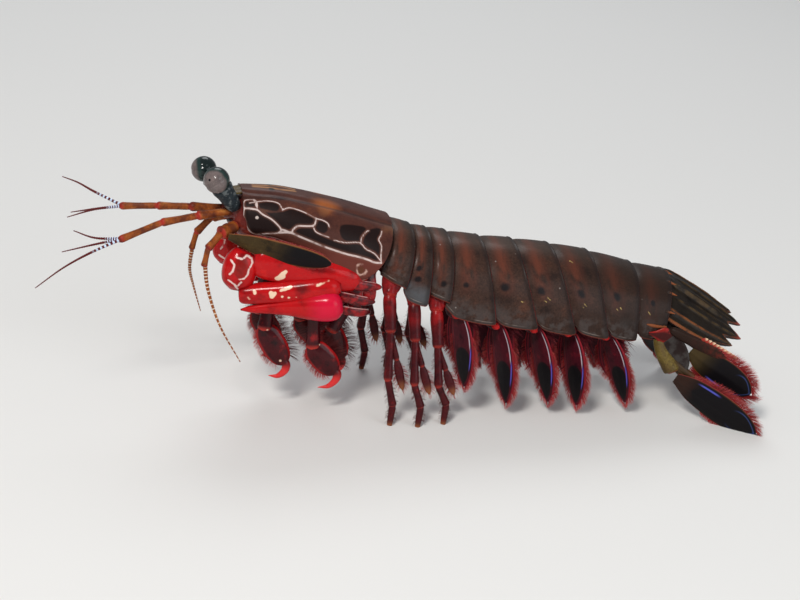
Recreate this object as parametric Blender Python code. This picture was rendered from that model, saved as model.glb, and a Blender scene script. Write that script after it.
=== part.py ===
"""A peacock mantis shrimp at life size, as a museum would show it: standing on its walking legs and tail fan.

The head looks along -X, the left side is at -Y, +Z is up, and the floor is z = 0.
Sizes are in millimetres and are turned into metres where a mesh is made.
"""

import math

import bmesh
import bpy
from mathutils import Vector

MM = 0.001
CENTRE = Vector((0.79, -0.57, 0))  # the middle of the whole animal's box, which becomes the origin
GAP = 0.3  # clearance between neighbouring plates and limbs
LEFT, RIGHT = -1, 1
SIDE_NAMES = {LEFT: "left", RIGHT: "right"}

# The plates' boundaries, from the neck to the telson: x and height of the back's ridge, half width,
# depth of the belly below the ridge, and how far the seam is swept back at SWEEP_DEPTH.
BOUNDARIES = (
    (-4.3, 47.3, 11.9, 10.8, 0.5),
    (1.4, 45.4, 12.6, 11.6, 0.6),
    (5.7, 44.5, 13.0, 12.0, 1.4),
    (10.9, 43.7, 13.4, 13.0, 0.9),
    (19.5, 42.5, 13.9, 15.0, 4.3),
    (28.2, 41.8, 14.2, 15.2, 6.2),
    (38.0, 40.7, 14.2, 15.0, 7.4),
    (48.6, 38.8, 14.0, 14.0, 7.8),
    (60.6, 35.5, 13.0, 12.2, 4.5),
    (70.4, 33.0, 11.6, 9.8, 1.8),
)
# The tail turns towards the left and rolls over a little: degrees at each of the last boundaries.
TURN = {7: (1, 1), 8: (3, 4), 9: (6, 10)}
TELSON_TURN = (9, 18)
# Each plate between two boundaries: its name, and how deep its side flap hangs in front and behind.
PLATES = (
    ("thorax_6", 11.8, 12.4),
    ("thorax_7", 15.2, 16.0),
    ("thorax_8", 12.2, 12.6),
    ("abdomen_1", 17.4, 18.3),
    ("abdomen_2", 18.0, 18.4),
    ("abdomen_3", 18.2, 18.4),
    ("abdomen_4", 17.6, 17.2),
    ("abdomen_5", 16.4, 15.2),
    ("abdomen_6", 14.0, 12.6),
)
ARCH_STEPS = 14  # faces across a plate, from flap to flap
ARCH_POWER = 2.35  # 2 is an ellipse, more is squarer
FLAP_THICKNESS = 1.0
SWEEP_DEPTH = 18.0
TUCK = 0.55  # how far a plate's front edge lies inside the rear edge before it

# The carapace: x and height of its ridge, half width and depth of its sides.
CARAPACE = (
    (-41.6, 55.2, 7.0, 5.4),
    (-39.6, 55.2, 8.4, 9.2),
    (-33.0, 54.9, 9.8, 9.9),
    (-27.0, 53.9, 10.9, 10.6),
    (-21.0, 52.6, 11.8, 11.8),
    (-15.0, 51.2, 12.6, 13.6),
    (-9.5, 49.6, 13.1, 14.4),
    (-4.7, 48.2, 13.2, 12.2),
)
CARAPACE_ROOF = 4.2  # depth of its underside below the ridge
GROOVE_AT = 0.42  # place of each gastric groove, as a share of the half width
GROOVE_DEPTH = 0.35
CORNER_ROUNDING = 2.6  # how far the rear lower corner is drawn forwards

HEAD_FRONT_X = -45.6
HEAD_DEPTH = 10.4
EYE_AT = {LEFT: (-48.2, 6.0, 58.2), RIGHT: (-49.8, 6.2, 57.3)}
EYE_RADIUS = 3.1
STALK_ROOT = (-43.0, 3.3, 50.6)
STALK_RADIUS = 2.2

# Joints of the raptorial claw on one side, as (x, distance from the middle plane, z).
MERUS_ROOT = (-10.5, 8.2, 36.4)
MERUS_BEND = (-15.0, 11.4, 35.6)
MERUS_TIP = (-37.2, 10.0, 39.6)
MERUS_HALF_DEPTH = 4.1
MERUS_HALF_WIDTH = 2.7
CARPUS_TOP = (-41.6, 9.3, 40.6)
CARPUS_FOOT = (-42.8, 9.0, 32.6)
CARPUS_HALF_DEPTH = 4.2
CARPUS_HALF_WIDTH = 3.1
PROPODUS_ROOT = (-42.2, 9.6, 30.9)
PROPODUS_TIP = (-18.2, 14.0, 34.4)
PROPODUS_HALF_DEPTH = 2.75
PROPODUS_HALF_WIDTH = 2.5
HEEL_AT = (-20.6, 14.6, 29.1)
HEEL_HALF_DEPTH = 3.7
HEEL_HALF_WIDTH = 3.2
DACTYL_TIP = (-41.5, 10.0, 26.4)

SCALE_ROOT = (-45.2, 9.4, 45.4)
SCALE_TIP = (-21.4, 15.9, 41.0)
SCALE_HALF_WIDTH = 3.4

TELSON_LENGTH = 24.6
TELSON_PITCH = 31
TELSON_HALF_WIDTH = 11.8
TELSON_THICKNESS = 1.8
TELSON_STEP = 1.4  # how far its front edge lies below the ridge of the plate before it

# Joints of the tail fan on each side. The left one hangs lower, because the tail rolls that way.
FAN_JOINTS = {
    LEFT: {
        "stem": ((65.8, 9.4, 22.6), (68.6, 14.4, 12.6)),
        "outer": ((70.2, 12.8, 20.8), (78.2, 17.3, 18.9)),
        "paddle": ((73.0, 14.8, 17.8), (88.0, 21.4, 8.7)),
        "inner": ((69.8, 15.2, 10.8), (88.4, 27.0, 0.2)),
    },
    RIGHT: {
        "stem": ((65.8, 8.6, 25.0), (69.0, 13.0, 15.6)),
        "outer": ((70.4, 12.0, 23.2), (78.6, 16.3, 21.5)),
        "paddle": ((73.2, 14.0, 20.2), (88.4, 20.2, 11.2)),
        "inner": ((70.2, 14.0, 13.4), (88.6, 25.8, 0.2)),
    },
}
FAN_FACING = {"paddle": (0.45, 0.3, 0.85), "inner": (0.42, 0.5, 0.76)}  # the way each blade is broad
STEM_SPINES = ((12.6, 4.4, 5.2), (8.5, 2.6, 4.8))  # reach back, out and down of the stem's two long spines
FRINGE_LENGTH = 2.6
MOVABLE_SPINES = 5  # along the outer edge of the tail fan's outer blade

LEG_FEET = (-4.4, 2.4, 9.2)  # x of the three feet on one side
LEG_STANCE = (18.0, 19.2, 17.8)  # their distances from the middle plane


def clear_scene():
    """Empties the scene of whatever it starts with."""
    for obj in list(bpy.data.objects):
        bpy.data.objects.remove(obj, do_unlink=True)
    for collection in list(bpy.data.collections):
        bpy.data.collections.remove(collection)


def make_material(name, colour, roughness, metallic=0.0):
    """A plain Principled finish."""
    material = bpy.data.materials.new(name)
    material.use_nodes = True
    shader = material.node_tree.nodes["Principled BSDF"]
    shader.inputs["Base Color"].default_value = (*colour, 1.0)
    shader.inputs["Roughness"].default_value = roughness
    shader.inputs["Metallic"].default_value = metallic
    return material


clear_scene()
ANIMAL = bpy.data.collections.new("mantis_shrimp")
bpy.context.scene.collection.children.link(ANIMAL)
SHELL = make_material("shell", (0.075, 0.035, 0.025), 0.35)
CLAW = make_material("claw", (0.55, 0.02, 0.02), 0.25)
LIMB = make_material("limb", (0.20, 0.015, 0.018), 0.4)
FEELER = make_material("feeler", (0.45, 0.16, 0.03), 0.4)
FAN = make_material("fan", (0.03, 0.025, 0.02), 0.35)
CORNEA = make_material("cornea", (0.16, 0.15, 0.15), 0.15)
STALK = make_material("stalk", (0.06, 0.08, 0.09), 0.4)


def mirrored(point, side):
    """A point given by its distance from the middle plane, on the left or the right."""
    x, away, z = point
    return Vector((x, side * away, z))


def between(start, end, share):
    """The point that lies this share of the way from one point to another."""
    return Vector(start).lerp(Vector(end), share)


def finish_mesh(name, mesh_builder, material):
    """Turns a bmesh in millimetres into an object of the animal, in metres, faces outwards."""
    for vertex in mesh_builder.verts:
        vertex.co = (vertex.co - CENTRE) * MM
    bmesh.ops.recalc_face_normals(mesh_builder, faces=mesh_builder.faces)
    mesh = bpy.data.meshes.new(name)
    mesh_builder.to_mesh(mesh)
    mesh_builder.free()
    mesh.materials.append(material)
    obj = bpy.data.objects.new(name, mesh)
    ANIMAL.objects.link(obj)
    return obj


def smooth(obj, angle=50):
    """Shades the object smooth, with sharp edges past the angle."""
    obj.data.shade_smooth()
    obj.data.set_sharp_from_angle(angle=math.radians(angle))
    return obj


def skin(name, rings, material):
    """Closes a tube of rings with equal counts of points, with one flat face on each end."""
    builder = bmesh.new()
    made = [[builder.verts.new(point) for point in ring] for ring in rings]
    for ring, after in zip(made, made[1:]):
        for i in range(len(ring)):
            j = (i + 1) % len(ring)
            builder.faces.new((ring[i], ring[j], after[j], after[i]))
    builder.faces.new(made[0])
    builder.faces.new(made[-1])
    return finish_mesh(name, builder, material)


def tube_rings(path, sizes, side, sides=8):
    """Elliptic rings along a path. Each size is (half width along side, half depth)."""
    rings = []
    for i, point in enumerate(path):
        before = Vector(path[max(i - 1, 0)])
        after = Vector(path[min(i + 1, len(path) - 1)])
        along = (after - before).normalized()
        across = (side - along * side.dot(along)).normalized()
        up = along.cross(across)
        width, depth = sizes[i]
        ring = []
        for k in range(sides):
            angle = 2 * math.pi * k / sides
            ring.append(
                Vector(point)
                + across * width * math.cos(angle)
                + up * depth * math.sin(angle)
            )
        rings.append(ring)
    return rings


SEGMENT_PROFILE = ((0.0, 0.6), (0.25, 1.0), (0.85, 0.92), (1.0, 0.6))


def chain_rings(joints, sizes, side, sides=6):
    """A limb of several segments in one tube, pinched at each joint. There is one size for each segment."""
    path, radii = [], []
    for k, (start, end) in enumerate(zip(joints, joints[1:])):
        for share, scale in SEGMENT_PROFILE:
            if k and share == 0.0:
                continue
            path.append(between(start, end, share))
            radii.append((sizes[k][0] * scale, sizes[k][1] * scale))
    return tube_rings(path, radii, side, sides)


def whip_rings(points, thick, thin, side, sides=4, steps=6):
    """A feeler that thins evenly along a smooth curve through a few points."""
    path = [curve_point(points, k / (steps - 1)) for k in range(steps)]
    radii = [thick + (thin - thick) * k / (steps - 1) for k in range(steps)]
    return tube_rings(path, [(r, r) for r in radii], side, sides)


def curve_point(points, share):
    """A point on the Catmull-Rom curve through the points."""
    points = [Vector(p) for p in points]
    place = share * (len(points) - 1)
    i = min(int(place), len(points) - 2)
    t = place - i
    p1, p2 = points[i], points[i + 1]
    p0 = points[i - 1] if i else p1 * 2 - p2
    p3 = points[i + 2] if i + 2 < len(points) else p2 * 2 - p1
    return 0.5 * (
        p1 * 2
        + (p2 - p0) * t
        + (p0 * 2 - p1 * 5 + p2 * 4 - p3) * t * t
        + (p1 * 3 - p0 - p2 * 3 + p3) * t * t * t
    )


LEAF_PROFILE = ((0.0, 0.34), (0.2, 0.84), (0.52, 1.0), (0.86, 0.72), (1.0, 0.22))


def leaf_rings(root, tip, half_width, thickness, side, sides=6, bow=0.0):
    """A flat blade with the outline of a leaf. Bow lifts its middle off the straight line."""
    root, tip = Vector(root), Vector(tip)
    lift = (tip - root).cross(side).normalized() * bow
    path, sizes = [], []
    for share, scale in LEAF_PROFILE:
        path.append(root.lerp(tip, share) + lift * math.sin(math.pi * share))
        sizes.append((half_width * scale, thickness / 2 * (0.55 + 0.45 * scale)))
    return tube_rings(path, sizes, side, sides)


def spike_rings(root, tip, width, depth, side, bend=None):
    """A four-sided spine or lock of bristles that tapers to its tip, and bends where it is told to."""
    shares = ((0.0, 1.0), (0.55, 0.74), (1.0, 0.16)) if bend else ((0.0, 1.0), (1.0, 0.18))
    path = [between(root, tip, share) + (bend or Vector()) * math.sin(math.pi * share) for share, _ in shares]
    return tube_rings(path, [(width * s, depth * s) for _, s in shares], side, 4)


def fringe(root, tip, half_width, side, counts, length, width, first=0.3, curl=0.0):
    """Locks of bristles along both margins of a leaf, with their roots sunk in the leaf."""
    root, tip = Vector(root), Vector(tip)
    along = (tip - root).normalized()
    across = (side - along * side.dot(along)).normalized()
    locks = []
    for sign, count in zip((1, -1), counts):
        for k in range(count):
            share = first + (1.0 - first) * (k + 0.5) / count
            out = (across * sign * (1.2 - share) + along * (share - 0.15)).normalized()
            edge = root.lerp(tip, share) + across * sign * half_width * leaf_scale(share) * 0.7
            reach = length + half_width * 0.3
            flat = out.cross(along.cross(across))
            bend = along * -curl if curl else None
            locks.append(spike_rings(edge, edge + out * reach, width, 0.3, flat, bend))
    return locks


def leaf_scale(share):
    """The leaf's width at a share of its length, read from the profile."""
    for (a, low), (b, high) in zip(LEAF_PROFILE, LEAF_PROFILE[1:]):
        if share <= b:
            return low + (high - low) * (share - a) / (b - a)
    return LEAF_PROFILE[-1][1]


def largest_shell(obj):
    """Keeps only the largest closed surface of the object's mesh."""
    builder = bmesh.new()
    builder.from_mesh(obj.data)
    bmesh.ops.remove_doubles(builder, verts=builder.verts, dist=1e-6)
    waiting, shells = set(builder.faces), []
    while waiting:
        shell, edge_of = set(), [waiting.pop()]
        while edge_of:
            face = edge_of.pop()
            shell.add(face)
            for edge in face.edges:
                for other in edge.link_faces:
                    if other in waiting:
                        waiting.discard(other)
                        edge_of.append(other)
        shells.append(shell)
    shells.sort(key=lambda faces: sum(face.calc_area() for face in faces))
    extra = [face for shell in shells[:-1] for face in shell]
    bmesh.ops.delete(builder, geom=extra, context="FACES")
    bmesh.ops.triangulate(builder, faces=builder.faces)
    builder.to_mesh(obj.data)
    builder.free()


def apply_boolean(obj, operation, others):
    """Applies one Boolean with a collection of closed meshes."""
    cutters = bpy.data.collections.new("cutters")
    bpy.context.scene.collection.children.link(cutters)
    for other in others:
        for collection in list(other.users_collection):
            collection.objects.unlink(other)
        cutters.objects.link(other)
    modifier = obj.modifiers.new(operation.lower(), "BOOLEAN")
    modifier.operation = operation
    modifier.operand_type = "COLLECTION"
    modifier.collection = cutters
    modifier.solver = "MANIFOLD"
    bpy.context.view_layer.update()
    graph = bpy.context.evaluated_depsgraph_get()
    mesh = bpy.data.meshes.new_from_object(obj.evaluated_get(graph))
    obj.modifiers.clear()
    obj.data = mesh
    for other in others:
        bpy.data.objects.remove(other, do_unlink=True)
    bpy.data.collections.remove(cutters)
    largest_shell(obj)


def fuse(name, ring_sets, material):
    """Joins closed tubes into one body."""
    pieces = [skin(f"{name}_piece", rings, material) for rings in ring_sets]
    whole = pieces[0]
    whole.name = name
    if len(pieces) > 1:
        apply_boolean(whole, "UNION", pieces[1:])
    return smooth(whole)


def swollen(obj, by):
    """A copy of a body, grown by a distance in millimetres along its normals."""
    builder = bmesh.new()
    builder.from_mesh(obj.data)
    builder.normal_update()
    moves = [vertex.normal * by * MM * min(vertex.calc_shell_factor(), 1.6) for vertex in builder.verts]
    for vertex, move in zip(builder.verts, moves):
        vertex.co += move
    mesh = bpy.data.meshes.new("swollen")
    builder.to_mesh(mesh)
    builder.free()
    copy = bpy.data.objects.new("swollen", mesh)
    ANIMAL.objects.link(copy)
    return copy


def seat(obj, *neighbours):
    """Cuts a limb back to the clearance from what it grows from or lies against."""
    for neighbour in neighbours:
        apply_boolean(obj, "DIFFERENCE", [swollen(neighbour, GAP)])
    return smooth(obj)


class Station:
    """One cross-section of the armoured trunk: a place on the ridge, its turn and its sizes."""

    def __init__(self, ridge, pitch, half_width, side_depth, belly_depth, yaw=0.0, roll=0.0):
        self.ridge = Vector(ridge)
        self.back = Vector((math.cos(yaw) * math.cos(pitch), -math.sin(yaw) * math.cos(pitch), -math.sin(pitch)))
        level = Vector((math.sin(yaw), math.cos(yaw), 0))
        upright = self.back.cross(level)
        self.side = level * math.cos(roll) + upright * math.sin(roll)
        self.up = upright * math.cos(roll) - level * math.sin(roll)
        self.half_width = half_width
        self.side_depth = side_depth
        self.belly_depth = belly_depth
        self.sweep = 0.0
        self.lift = 0.0

    def raised(self, by):
        """Moves the section outwards, and keeps its seam's sweep where it was."""
        self.ridge += self.up * by
        self.half_width += by
        self.side_depth += by
        self.lift += by
        return self

    def point(self, y, down, shift=0.0):
        """A place on the section: sideways, below the ridge, and moved back."""
        depth = max(0.0, down - self.lift)
        if self.sweep < 0:
            shift += self.sweep * (depth / self.side_depth) ** 3
        else:
            shift += self.sweep * (depth / SWEEP_DEPTH) ** 1.2
        return self.ridge + self.side * y - self.up * down + self.back * shift

    def outer(self, k, groove=0.0):
        """Point k of the arch, from the left flap over the ridge to the right flap."""
        angle = math.pi * (k / ARCH_STEPS - 0.5)
        y = math.copysign(abs(math.sin(angle)) ** (2 / ARCH_POWER), angle) * self.half_width
        share = 1 - abs(math.cos(angle)) ** (2 / ARCH_POWER)
        away = abs(y) / self.half_width - GROOVE_AT
        dent = groove * math.exp(-((away / 0.1) ** 2))
        return self.point(y, share * self.side_depth + dent)

    def inner(self, k):
        """Point k of the underside: inside a flap near the ends, and the belly between."""
        reach = math.sin(math.pi * (k / ARCH_STEPS - 0.5))
        wall = self.half_width - FLAP_THICKNESS
        y = wall * math.copysign(abs(reach) ** 0.85, reach)
        hang = max(0.0, (abs(reach) - 0.86) / 0.14) ** 0.8
        lowest = self.side_depth - 0.35
        down = self.belly_depth + (lowest - self.belly_depth) * hang
        down -= 0.9 * (1 - hang) * abs(reach) ** 3
        return self.point(y, down)


def arched_body(name, stations, material, groove=0.0):
    """A closed body from cross-sections: an arched back, hanging flaps and a belly."""
    builder = bmesh.new()
    columns = []
    for station in stations:
        outer = [station.outer(k, groove) for k in range(ARCH_STEPS + 1)]
        inner = [station.inner(k) for k in range(ARCH_STEPS + 1)]
        columns.append(([builder.verts.new(p) for p in outer], [builder.verts.new(p) for p in inner]))
    for (outer, inner), (next_outer, next_inner) in zip(columns, columns[1:]):
        for k in range(ARCH_STEPS):
            builder.faces.new((outer[k], outer[k + 1], next_outer[k + 1], next_outer[k]))
            builder.faces.new((inner[k + 1], inner[k], next_inner[k], next_inner[k + 1]))
        for k in (0, ARCH_STEPS):
            builder.faces.new((outer[k], next_outer[k], next_inner[k], inner[k]))
    for outer, inner in (columns[0], columns[-1]):
        for k in range(ARCH_STEPS):
            builder.faces.new((outer[k], outer[k + 1], inner[k + 1]))
            builder.faces.new((outer[k], inner[k + 1], inner[k]))
    return smooth(finish_mesh(name, builder, material))


def ridge_pitch(table, index):
    """The tilt of the ridge at one row of a table, from its neighbours."""
    before = table[max(index - 1, 0)]
    after = table[min(index + 1, len(table) - 1)]
    return math.atan2(before[1] - after[1], after[0] - before[0])


def ridge_y(x):
    """How far the ridge has moved to the left, where the tail turns."""
    return -0.012 * max(0.0, x - 52.0) ** 1.6


def plate_station(index, share, flap=14.0):
    """The cross-section at a share of the way along one plate, clear of the next by half the gap."""
    front, rear = BOUNDARIES[index], BOUNDARIES[index + 1]
    x, z, half_width, belly_depth, sweep = (a + (b - a) * share for a, b in zip(front, rear))
    pitches = ridge_pitch(BOUNDARIES, index), ridge_pitch(BOUNDARIES, index + 1)
    turns = TURN.get(index, (0, 0)), TURN.get(index + 1, (0, 0))
    pitch = pitches[0] + (pitches[1] - pitches[0]) * share
    yaw, roll = (math.radians(a + (b - a) * share) for a, b in zip(*turns))
    depth = max(flap, belly_depth + 0.8)
    station = Station((x, ridge_y(x), z), pitch, half_width, depth, belly_depth, yaw, roll)
    station.sweep = sweep
    station.ridge += station.back * GAP * 0.6 * (1 - 2 * share)
    return station


# Share of the length, height over the even surface, and share of the flap's depth.
PLATE_RIBS = ((0.0, -TUCK, 0.93), (0.18, -0.1, 0.99), (0.6, 0.12, 1.0), (1.0, 0.15, 0.96))
TAIL_SPINES = (0.24, 0.55, 0.86)  # places of the last plate's spines, as shares of its half width


def build_plates():
    """The three free plates of the thorax and the six of the abdomen."""
    made = {}
    for index, (name, front_flap, rear_flap) in enumerate(PLATES):
        stations = []
        for share, height, hang in PLATE_RIBS:
            flap = (front_flap + (rear_flap - front_flap) * share) * hang
            stations.append(plate_station(index, share, flap).raised(height))
        made[name] = arched_body(name, stations, SHELL)
    add_spines(made["abdomen_6"], stations[-1])
    return made


def add_spines(plate, station):
    """The short spines on the rear edge of the last plate."""
    spines = []
    for place in TAIL_SPINES:
        for side in (LEFT, RIGHT):
            angle = math.asin(place ** (ARCH_POWER / 2))
            down = station.side_depth * (1 - math.cos(angle) ** (2 / ARCH_POWER))
            y = side * place * station.half_width
            root = station.point(y, down + 0.4, -1.6)
            tip = station.point(y, down + 0.1, 1.3)
            spines.append(skin("spine", spike_rings(root, tip, 0.7, 0.4, station.side), SHELL))
    apply_boolean(plate, "UNION", spines)
    smooth(plate)


def carapace_stations():
    """Cross-sections of the carapace, with the tilt of its ridge."""
    stations = []
    for i, (x, z, half_width, depth) in enumerate(CARAPACE):
        stations.append(Station((x, 0, z), ridge_pitch(CARAPACE, i), half_width, depth, CARAPACE_ROOF))
    return stations


def build_carapace():
    """The head shield, with its two long grooves."""
    stations = carapace_stations()
    stations[-1].sweep = -CORNER_ROUNDING
    return arched_body("carapace", stations, SHELL, GROOVE_DEPTH)


def build_rostral_plate():
    """The small rounded plate hinged to the front of the carapace, between the eyes."""
    root, tip = Vector((-41.0, 0, 54.3)), Vector((-46.0, 0, 53.6))
    return fuse("rostral_plate", [leaf_rings(root, tip, 3.2, 1.2, Vector((0, 1, 0)), 8)], SHELL)


def build_head(first_plate):
    """The body under the carapace, with the mouth's lip and the slim first pair of mouth limbs."""
    stations = carapace_stations()[1:]
    path, sizes = [], []
    for station in stations:
        share = (station.ridge.x - CARAPACE[1][0]) / 35
        depth = HEAD_DEPTH / 2 * (0.78 + 0.3 * share)
        path.append(station.ridge - station.up * (CARAPACE_ROOF + GAP + 0.25 + depth))
        sizes.append((min(station.half_width * 0.68, 8.4), depth))
    front = Vector((HEAD_FRONT_X, 0, 49.2))
    path = [front, between(front, path[0], 0.5)] + path
    sizes = [(2.8, 2.2), (4.4, 3.2)] + sizes
    across = Vector((0, 1, 0))
    rings = [tube_rings(path, sizes, across)]
    rings.append(ball_rings(Vector((-36.6, 0, 42.4)), 3.6, Vector((0, 0, -1)), across, 4, 6, 1.1))
    for side in (LEFT, RIGHT):
        joints = [mirrored(p, side) for p in ((-30.0, 2.8, 45.0), (-38.6, 2.4, 34.4), (-40.2, 2.4, 27.4))]
        rings.append(chain_rings(joints, ((0.9, 1.0), (0.8, 0.9)), across, 5))
    return seat(fuse("head", rings, LIMB), first_plate)


def ball_rings(centre, radius, axis, side, steps=6, sides=10, squash=1.0):
    """Rings of a ball or an egg along an axis."""
    path, sizes = [], []
    for k in range(steps + 1):
        angle = math.pi * (0.06 + 0.88 * k / steps)
        path.append(Vector(centre) - axis * radius * math.cos(angle))
        sizes.append((radius * squash * math.sin(angle), radius * math.sin(angle)))
    return tube_rings(path, sizes, side, sides)


def build_eye(side, head, carapace, rostral):
    """A large round cornea on its stalk."""
    name = SIDE_NAMES[side]
    centre, root = mirrored(EYE_AT[side], side), mirrored(STALK_ROOT, side)
    axis = (centre - root).normalized()
    across = Vector((0, 1, 0))
    eye = fuse(f"eye_{name}", [ball_rings(centre, EYE_RADIUS, axis, across, squash=1.06)], CORNEA)
    joints = [root, between(root, centre, 0.75)]
    size = (STALK_RADIUS, STALK_RADIUS)
    stalk = fuse(f"eyestalk_{name}", [chain_rings(joints, [size], across, 8)], STALK)
    seat(stalk, eye, head, carapace, rostral)
    return eye, stalk


ANTENNULE_JOINTS = {
    LEFT: ((-43.5, 2.6, 49.6), (-52.0, 3.6, 48.6), (-60.5, 4.8, 47.2), (-70.3, 7.0, 43.6)),
    RIGHT: ((-43.5, 2.6, 48.6), (-53.0, 3.0, 48.8), (-60.8, 3.9, 48.6), (-69.4, 5.2, 48.0)),
}
ANTENNULE_SIZES = ((1.15, 1.15), (1.05, 1.05), (1.0, 1.0))
FLAGELLA = {
    LEFT: (
        ((-77.3, 9.0, 40.9), (-83.6, 11.2, 37.9), (-89.9, 14.0, 34.0)),
        ((-76.5, 7.4, 42.4), (-83.8, 9.0, 41.1)),
        ((-76.0, 5.4, 43.4), (-81.0, 4.4, 44.8)),
    ),
    RIGHT: (
        ((-75.4, 8.0, 50.5), (-79.4, 10.0, 52.2), (-83.0, 12.4, 52.9)),
        ((-75.5, 5.6, 46.9), (-82.0, 6.4, 44.6)),
        ((-75.4, 3.4, 47.8), (-81.4, 1.6, 47.4)),
    ),
}


def build_antennule(side, head, stalk):
    """The first feeler: a stalk of three segments that carries three whips."""
    joints = [mirrored(p, side) for p in ANTENNULE_JOINTS[side]]
    across = Vector((0, 1, 0))
    rings = [chain_rings(joints, ANTENNULE_SIZES, across)]
    start = between(joints[-2], joints[-1], 0.9)
    for whip in FLAGELLA[side]:
        points = [start] + [mirrored(p, side) for p in whip]
        rings.append(whip_rings(points, 0.42, 0.16, across))
    antennule = fuse(f"antennule_{SIDE_NAMES[side]}", rings, FEELER)
    return seat(antennule, head, stalk)


ANTENNA_JOINTS = {
    LEFT: ((-43.0, 5.0, 46.6), (-46.8, 7.6, 45.6), (-50.0, 10.0, 42.6), (-50.9, 11.2, 38.6)),
    RIGHT: ((-43.0, 5.0, 46.6), (-46.8, 7.2, 45.4), (-50.6, 8.2, 40.6), (-51.6, 8.6, 36.2)),
}
ANTENNA_WHIP = {
    LEFT: ((-49.8, 12.0, 33.0), (-46.6, 12.4, 24.0), (-41.2, 12.0, 14.5)),
    RIGHT: ((-51.8, 9.2, 31.0), (-50.6, 9.4, 26.0), (-48.6, 9.4, 19.5)),
}


def build_antenna(side, head, antennule):
    """The second feeler: a short stalk and one long whip that hangs."""
    joints = [mirrored(p, side) for p in ANTENNA_JOINTS[side]]
    across = Vector((1, 0, 0))
    sizes = ((1.7, 1.7), (1.0, 1.0), (0.8, 0.8))
    points = [between(joints[-2], joints[-1], 0.7)] + [mirrored(p, side) for p in ANTENNA_WHIP[side]]
    rings = [chain_rings(joints, sizes, across), whip_rings(points, 0.6, 0.18, across, 5, 7)]
    antenna = fuse(f"antenna_{SIDE_NAMES[side]}", rings, FEELER)
    return seat(antenna, head, antennule)


def build_antennal_scale(side, antenna, carapace, head):
    """The oval paddle of the second feeler, swept back along the cheek."""
    root, tip = mirrored(SCALE_ROOT, side), mirrored(SCALE_TIP, side)
    flat = Vector((0.1, side * 0.42, 1.0)).normalized()
    rings = leaf_rings(root, tip, SCALE_HALF_WIDTH, 0.9, flat, 8, bow=side * -0.6)
    scale = fuse(f"antennal_scale_{SIDE_NAMES[side]}", [rings], FAN)
    return seat(scale, antenna, carapace, head)


def build_claw(side, head, carapace, scale):
    """The folded striking claw: merus, carpus, propodus and the dactyl with its swollen heel."""
    name = SIDE_NAMES[side]
    across = Vector((0, 1, 0))
    root, bend, tip = (mirrored(p, side) for p in (MERUS_ROOT, MERUS_BEND, MERUS_TIP))
    merus_path = [root, between(root, bend, 0.6), bend, between(bend, tip, 0.3), between(bend, tip, 0.68), tip]
    merus_sizes = [(1.9, 2.2), (2.0, 2.3), (2.2, 2.6)]
    merus_sizes += [(MERUS_HALF_WIDTH, MERUS_HALF_DEPTH * 0.92), (MERUS_HALF_WIDTH, MERUS_HALF_DEPTH), (2.3, 3.1)]
    merus = fuse(f"raptorial_merus_{name}", [tube_rings(merus_path, merus_sizes, across)], CLAW)

    top, foot = mirrored(CARPUS_TOP, side), mirrored(CARPUS_FOOT, side)
    carpus_path = [between(top, foot, s) for s in (-0.12, 0.1, 0.45, 0.8, 1.06)]
    carpus_sizes = [
        (CARPUS_HALF_WIDTH * s, CARPUS_HALF_DEPTH * s) for s in (0.45, 0.86, 1.0, 0.82, 0.5)
    ]
    carpus = fuse(f"raptorial_carpus_{name}", [tube_rings(carpus_path, carpus_sizes, across)], CLAW)
    seat(carpus, merus)

    start, end = mirrored(PROPODUS_ROOT, side), mirrored(PROPODUS_TIP, side)
    path = [between(start, end, s) for s in (0.0, 0.1, 0.4, 0.75, 0.94, 1.0)]
    sizes = [
        (PROPODUS_HALF_WIDTH * s, PROPODUS_HALF_DEPTH * s) for s in (0.55, 0.95, 1.0, 0.92, 0.75, 0.4)
    ]
    propodus = fuse(f"raptorial_propodus_{name}", [tube_rings(path, sizes, across)], CLAW)
    seat(propodus, carpus, merus)

    heel, point = mirrored(HEEL_AT, side), mirrored(DACTYL_TIP, side)
    along = (point - heel).normalized()
    path = [heel - along * 3.0, heel - along * 1.8, heel, heel + along * 4.5]
    path += [heel + along * 9.0, between(heel, point, 0.75), point]
    sizes = [(HEEL_HALF_WIDTH * s, HEEL_HALF_DEPTH * s) for s in (0.4, 0.82, 1.0, 0.93, 0.55)]
    sizes += [(1.1, 1.2), (0.35, 0.35)]
    dactyl = fuse(f"raptorial_dactyl_{name}", [tube_rings(path, sizes, across)], CLAW)
    seat(dactyl, propodus, carpus)
    seat(merus, head, carapace, scale)
    return merus, carpus, propodus, dactyl


# Joints of the three small grasping limbs, front to back: root, knee, wrist, hand and claw tip.
GRASPERS = (
    ("maxilliped_3",
     ((-24.0, 4.2, 41.0), (-33.5, 4.6, 31.0), (-36.2, 5.6, 23.0), (-29.4, 6.6, 11.8), (-33.2, 6.6, 8.6))),
    ("maxilliped_4",
     ((-17.0, 4.6, 39.0), (-23.4, 8.4, 28.4), (-24.8, 9.4, 19.0), (-17.2, 10.0, 10.6), (-21.4, 10.0, 6.8))),
    ("maxilliped_5",
     ((-10.0, 4.8, 37.4), (-13.0, 6.2, 29.6), (-19.2, 6.4, 22.4), (-15.4, 6.2, 12.6), (-19.0, 6.0, 9.8))),
)


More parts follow.
